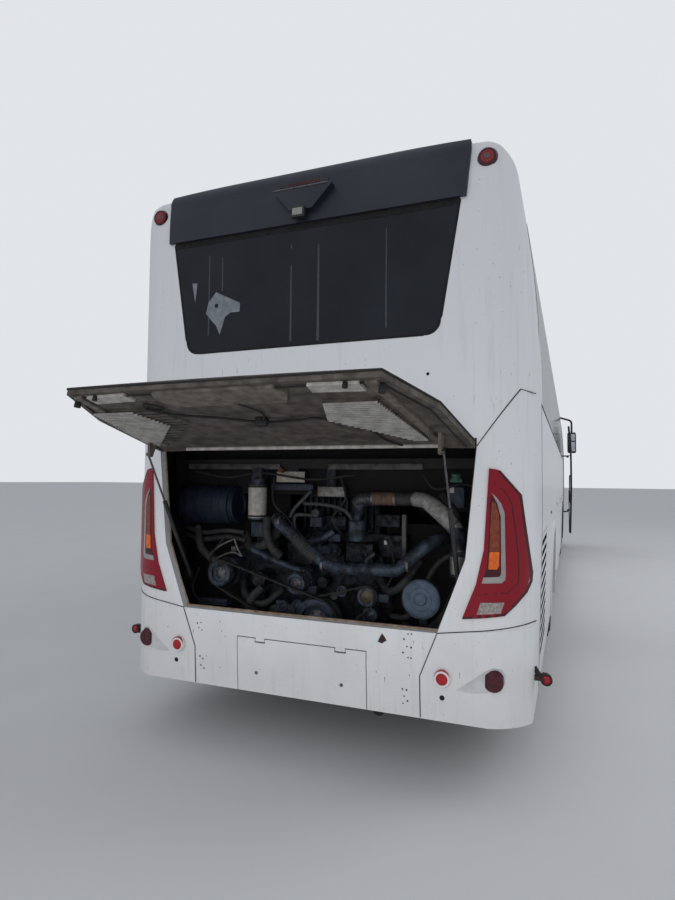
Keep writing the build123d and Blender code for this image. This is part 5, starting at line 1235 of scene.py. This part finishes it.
# Wheels
# Pale grey painted steel rims with ten nuts each, and black tyres with grooves round the tread, short
# cross lugs at the shoulders and raised rings on the outer walls. The rear wheels are twins.
tyre_black = mottled("tyre_rubber", (0.020, 0.020, 0.021), (0.042, 0.039, 0.036), 0.8, 0.06)
rim_paint = mottled("rim_paint", (0.42, 0.43, 0.44), (0.24, 0.22, 0.20), 0.45, 0.06, Metallic=0.35)
nut_steel = mottled("nut_steel", (0.34, 0.32, 0.29), (0.20, 0.14, 0.10), 0.5, 0.02, Metallic=0.7)
axle_iron = mottled("axle_iron", (0.030, 0.029, 0.028), (0.060, 0.050, 0.042), 0.8, 0.05)
tyre_radius, rib_half, lug_count = 0.5048, 0.013, 72


def tread(form, centre):
    """Ribs between four grooves, with short cross lugs at the shoulders."""
    for offset in (-0.062, -0.030, 0.0, 0.030, 0.062):
        hoop(form, centre, "x", offset - rib_half, tyre_radius - 0.003, offset + rib_half, tyre_radius, 72)
    for step in range(lug_count):
        turn = Matrix.Rotation(2 * pi * step / lug_count, 3, "X")
        for shoulder in (-1, 1):
            low = Vector((shoulder * 0.088, 0, tyre_radius - 0.006))
            top = Vector((shoulder * 0.128, 0, tyre_radius - 0.022))
            bar(form, centre + turn @ low, centre + turn @ top, 0.0065, steps=4)


def wall_rings(form, centre, side_sign):
    """Raised rings moulded on a tyre's wall."""
    wall, crest = side_sign * 0.139, side_sign * 0.1475
    for radius in (0.315, 0.395, 0.440):
        turned(form, [(wall, radius - 0.003), (crest, radius - 0.002), (crest, radius + 0.002),
                      (wall, radius + 0.003)], centre, "x", 64)


outer_twin_x, twin_spacing = 1.068, 0.332
nut_count, nut_circle = 10, 0.1675
front_face, rear_face = 0.107, -0.120
for side_name, sign in sides:
    dressed("front_tyre_" + side_name, tyre_black)
    dressed("rear_tyres_" + side_name, tyre_black)
    dressed("front_rim_" + side_name, rim_paint)
    dressed("rear_rims_" + side_name, rim_paint)
    dressed("knuckle_" + side_name, axle_iron)
    front_low, front_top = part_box("front_tyre_" + side_name)
    rear_low, rear_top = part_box("rear_tyres_" + side_name)
    front_hub = (front_low + front_top) / 2
    outer_hub = Vector((sign * outer_twin_x, (rear_low.y + rear_top.y) / 2, tyre_radius))
    inner_hub = outer_hub - Vector((sign * twin_spacing, 0, 0))
    for body, face, wheel_hubs in (("front_wheel_" + side_name, front_face, [front_hub]),
                                   ("rear_wheels_" + side_name, rear_face, [outer_hub, inner_hub])):
        marks = bmesh.new()
        for centre in wheel_hubs:
            tread(marks, centre)
            wall_rings(marks, centre, sign)
        piece(body + "_tread", marks, tyre_black, body=body)
        nuts = bmesh.new()
        for u, v in around(nut_count, nut_circle):
            foot = wheel_hubs[0] + Vector((sign * (face - 0.006), u, v))
            bar(nuts, foot, foot + Vector((sign * 0.028, 0, 0)), 0.017, 0.015, 6)
        piece(body + "_nuts", nuts, nut_steel, body=body)


# Front
# White mask under a deep dark windscreen, with clear headlamps, a black lower grille, wipers on two
# pivots, and mirrors hanging from cranked black arms.
lamp_clear = mottled("lamp_clear", (0.42, 0.44, 0.47), (0.30, 0.31, 0.33), 0.08, 0.04, Coat_Weight=0.8,
                     Metallic=0.4)
dressed("headlamps", lamp_clear)
dressed("mirrors", plastic)
nose_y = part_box("front_mask")[1].y
mirror_glass = finish("mirror_glass", (0.55, 0.57, 0.60), 0.04, Metallic=1.0)
feed(mirror_glass, "Roughness", ramp(mirror_glass, grain(mirror_glass, 0.2), 0.3, 0.7, 0.03, 0.10))
glasses = bmesh.new()
mirror_x, glass_half = 1.455, 0.080
mirror_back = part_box("mirrors")[1].y - 0.118
for x in (-mirror_x, mirror_x):
    for low_z, top_z in ((2.34, 2.58), (2.61, 2.78)):
        block(glasses, (x - glass_half, mirror_back - 0.0055, low_z),
              (x + glass_half, mirror_back, top_z), 0.006)
piece("mirror_glasses", glasses, mirror_glass)
nose = bmesh.new()
for node in ("front_mask", "front_bumper", "glazing", "headlamps"):
    nose.from_mesh(frame["nodes"][node].data)
nose_skin = BVHTree.FromBMesh(nose)
nose.free()


def nose_point(x, z, proud=0.0):
    """Point that stands proud of the front's skin, and the way the skin faces there."""
    spot, normal = nose_skin.ray_cast((x, nose_y + 1.0, z), (0.0, -1.0, 0.0))[:2]
    normal = normal if normal.y > 0 else -normal
    return spot + normal * proud, normal


grille = bmesh.new()
grille_top_z, grille_low_z, cell_count, cell_wide, row_count = 0.665, 0.400, 24, 0.05, 6
for cell in range(cell_count):
    x0, x1 = -0.60 + cell * cell_wide, -0.55 + cell * cell_wide
    foot = grille_low_z + 0.10 * max(abs(x0), abs(x1)) ** 4 / 0.13
    tall = grille_top_z - foot
    backing = [(foot + tall * row / row_count, tall / row_count, -0.004, 0.003)
               for row in range(row_count)]
    slats = [(z, 0.016, 0.0, 0.010) for z in (0.50, 0.55, 0.60, 0.645)]
    for z, thick, low, proud in backing + slats:
        for vert in bmesh.ops.create_cube(grille, size=1.0)["verts"]:
            x, corner_z = (x0, x1)[vert.co.x > 0], z + thick * (vert.co.z > 0)
            vert.co = nose_point(x, corner_z, proud if vert.co.y > 0 else low)[0]
piece("front_grille", grille, plastic)
wipers = bmesh.new()
wiper_z, wiper_reach, wiper_rise = 1.420, 0.80, 0.180
for x in (-0.88, 0.02):
    pivot = nose_point(x, wiper_z, 0.004)[0]
    arm = [nose_point(x + wiper_reach * t, wiper_z + wiper_rise * t, 0.020 + 0.012 * sin(pi * t))[0]
           for t in (0.0, 0.2, 0.4, 0.6, 0.8)]
    tube(wipers, arm, 0.008, 8)
    bar(wipers, pivot - Vector((0, 0.020, 0)), pivot + Vector((0, 0.020, 0)), 0.022, steps=16)
    blade = [nose_point(x + wiper_reach * (0.30 + 0.09 * step), wiper_z + 0.080 + 0.014 * step, 0.010)[0]
             for step in range(9)]
    tube(wipers, blade, 0.006, 8)
piece("wipers", wipers, plastic)
holder = bmesh.new()
holder_half, holder_z = 0.27, 0.735
holder_back = nose_point(holder_half, holder_z)[0].y - 0.004
holder_front = nose_point(0.0, holder_z)[0].y + 0.004
block(holder, (-holder_half, holder_back, holder_z - 0.055),
      (holder_half, holder_front, holder_z + 0.055), 0.003)
piece("front_plate_holder", holder, plastic)
bezels, projectors = bmesh.new(), bmesh.new()
for sign in (-1, 1):
    for x, z, radius in ((0.76, 0.945, 0.040), (0.90, 0.962, 0.046), (1.04, 0.985, 0.040)):
        spot, facing = nose_point(sign * x, z)
        bar(bezels, spot - facing * 0.006, spot + facing * 0.0018, radius + 0.009, steps=32)
        bar(projectors, spot - facing * 0.006, spot + facing * 0.0030, radius, steps=32)
piece("headlamp_bezels", bezels, plastic)
projector_glass = mottled("projector_glass", (0.52, 0.54, 0.57), (0.30, 0.31, 0.34), 0.05, 0.03, Metallic=0.6)
piece("headlamp_projectors", projectors, projector_glass)


# Roof
# Two hatches and the cooling unit's low white hood, moulded and painted as the panels are. The hood has
# two rows of dark louvres let into its top.
dressed("roof_fittings", [white, liner_and_shade], inner=faces_inward)
hood_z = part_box("roof_fittings")[1].z
louvres = bmesh.new()
louvre_x, louvre_half, louvre_deep, louvre_pitch = 0.52, 0.14, 0.05, 0.10
for x in (-louvre_x, louvre_x):
    for step in range(16):
        y = -0.95 + step * louvre_pitch
        block(louvres, (x - louvre_half, y, hood_z - 0.006),
              (x + louvre_half, y + louvre_deep, hood_z - 0.0005), 0.001)
piece("roof_unit_louvres", louvres, seam_dark)


# Cabin
# Blue-grey cloth seats in pairs on a dark floor, with paler head rests, and the driver's place with its
# dash, wheel and seat. The cushions, backs and head rests are soft and upholstered.
floor_lining = mottled("floor_lining", (0.060, 0.060, 0.064), (0.090, 0.086, 0.080), 0.8, 0.10)
dressed("cabin_floor", floor_lining)
seat_cloth = mottled("seat_cloth", (0.050, 0.058, 0.098), (0.085, 0.092, 0.135), 0.9, 0.03)
relief(seat_cloth, grain(seat_cloth, 0.004, 2.0), 0.25, 0.001)
head_cloth = mottled("head_cloth", (0.24, 0.24, 0.26), (0.17, 0.17, 0.19), 0.9, 0.03)
dressed("seats", seat_cloth)
dash_plastic = mottled("dash_plastic", (0.040, 0.040, 0.043), (0.060, 0.058, 0.056), 0.6, 0.06)
dressed("driver_place", dash_plastic)
deck_z, first_row, seat_pitch, seat_front = 1.360, tail_y + 2.100, 0.800, 0.480
seat_rows = round((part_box("seats")[1].y - seat_front - first_row) / seat_pitch) + 1
bottoms, backs, rests = bmesh.new(), bmesh.new(), bmesh.new()
for index in range(seat_rows):
    y = first_row + index * seat_pitch
    for x in (-0.455, -0.925, 0.455, 0.925):
        for form, half, back, front, low, top, plump in ((bottoms, 0.225, 0.060, 0.490, 0.395, 0.455, 0.035),
                                                         (backs, 0.220, -0.085, 0.000, 0.450, 0.860, 0.035),
                                                         (rests, 0.140, -0.105, -0.045, 0.880, 1.070, 0.025)):
            block(form, (x - half, y + back, deck_z + low), (x + half, y + front, deck_z + top), plump, 4)
for name, form, made in (("seat_cushions", bottoms, seat_cloth), ("seat_backs", backs, seat_cloth),
                         ("head_rests", rests, head_cloth)):
    piece(name, form, made)


# Running gear
# Grimy cast axles and black rubber air springs under the floor. They are hardly seen from outside, and
# each is a smooth copy of its solid.
dressed("front_axle", axle_iron)
dressed("rear_axle", axle_iron)
dressed("air_springs", rubber)
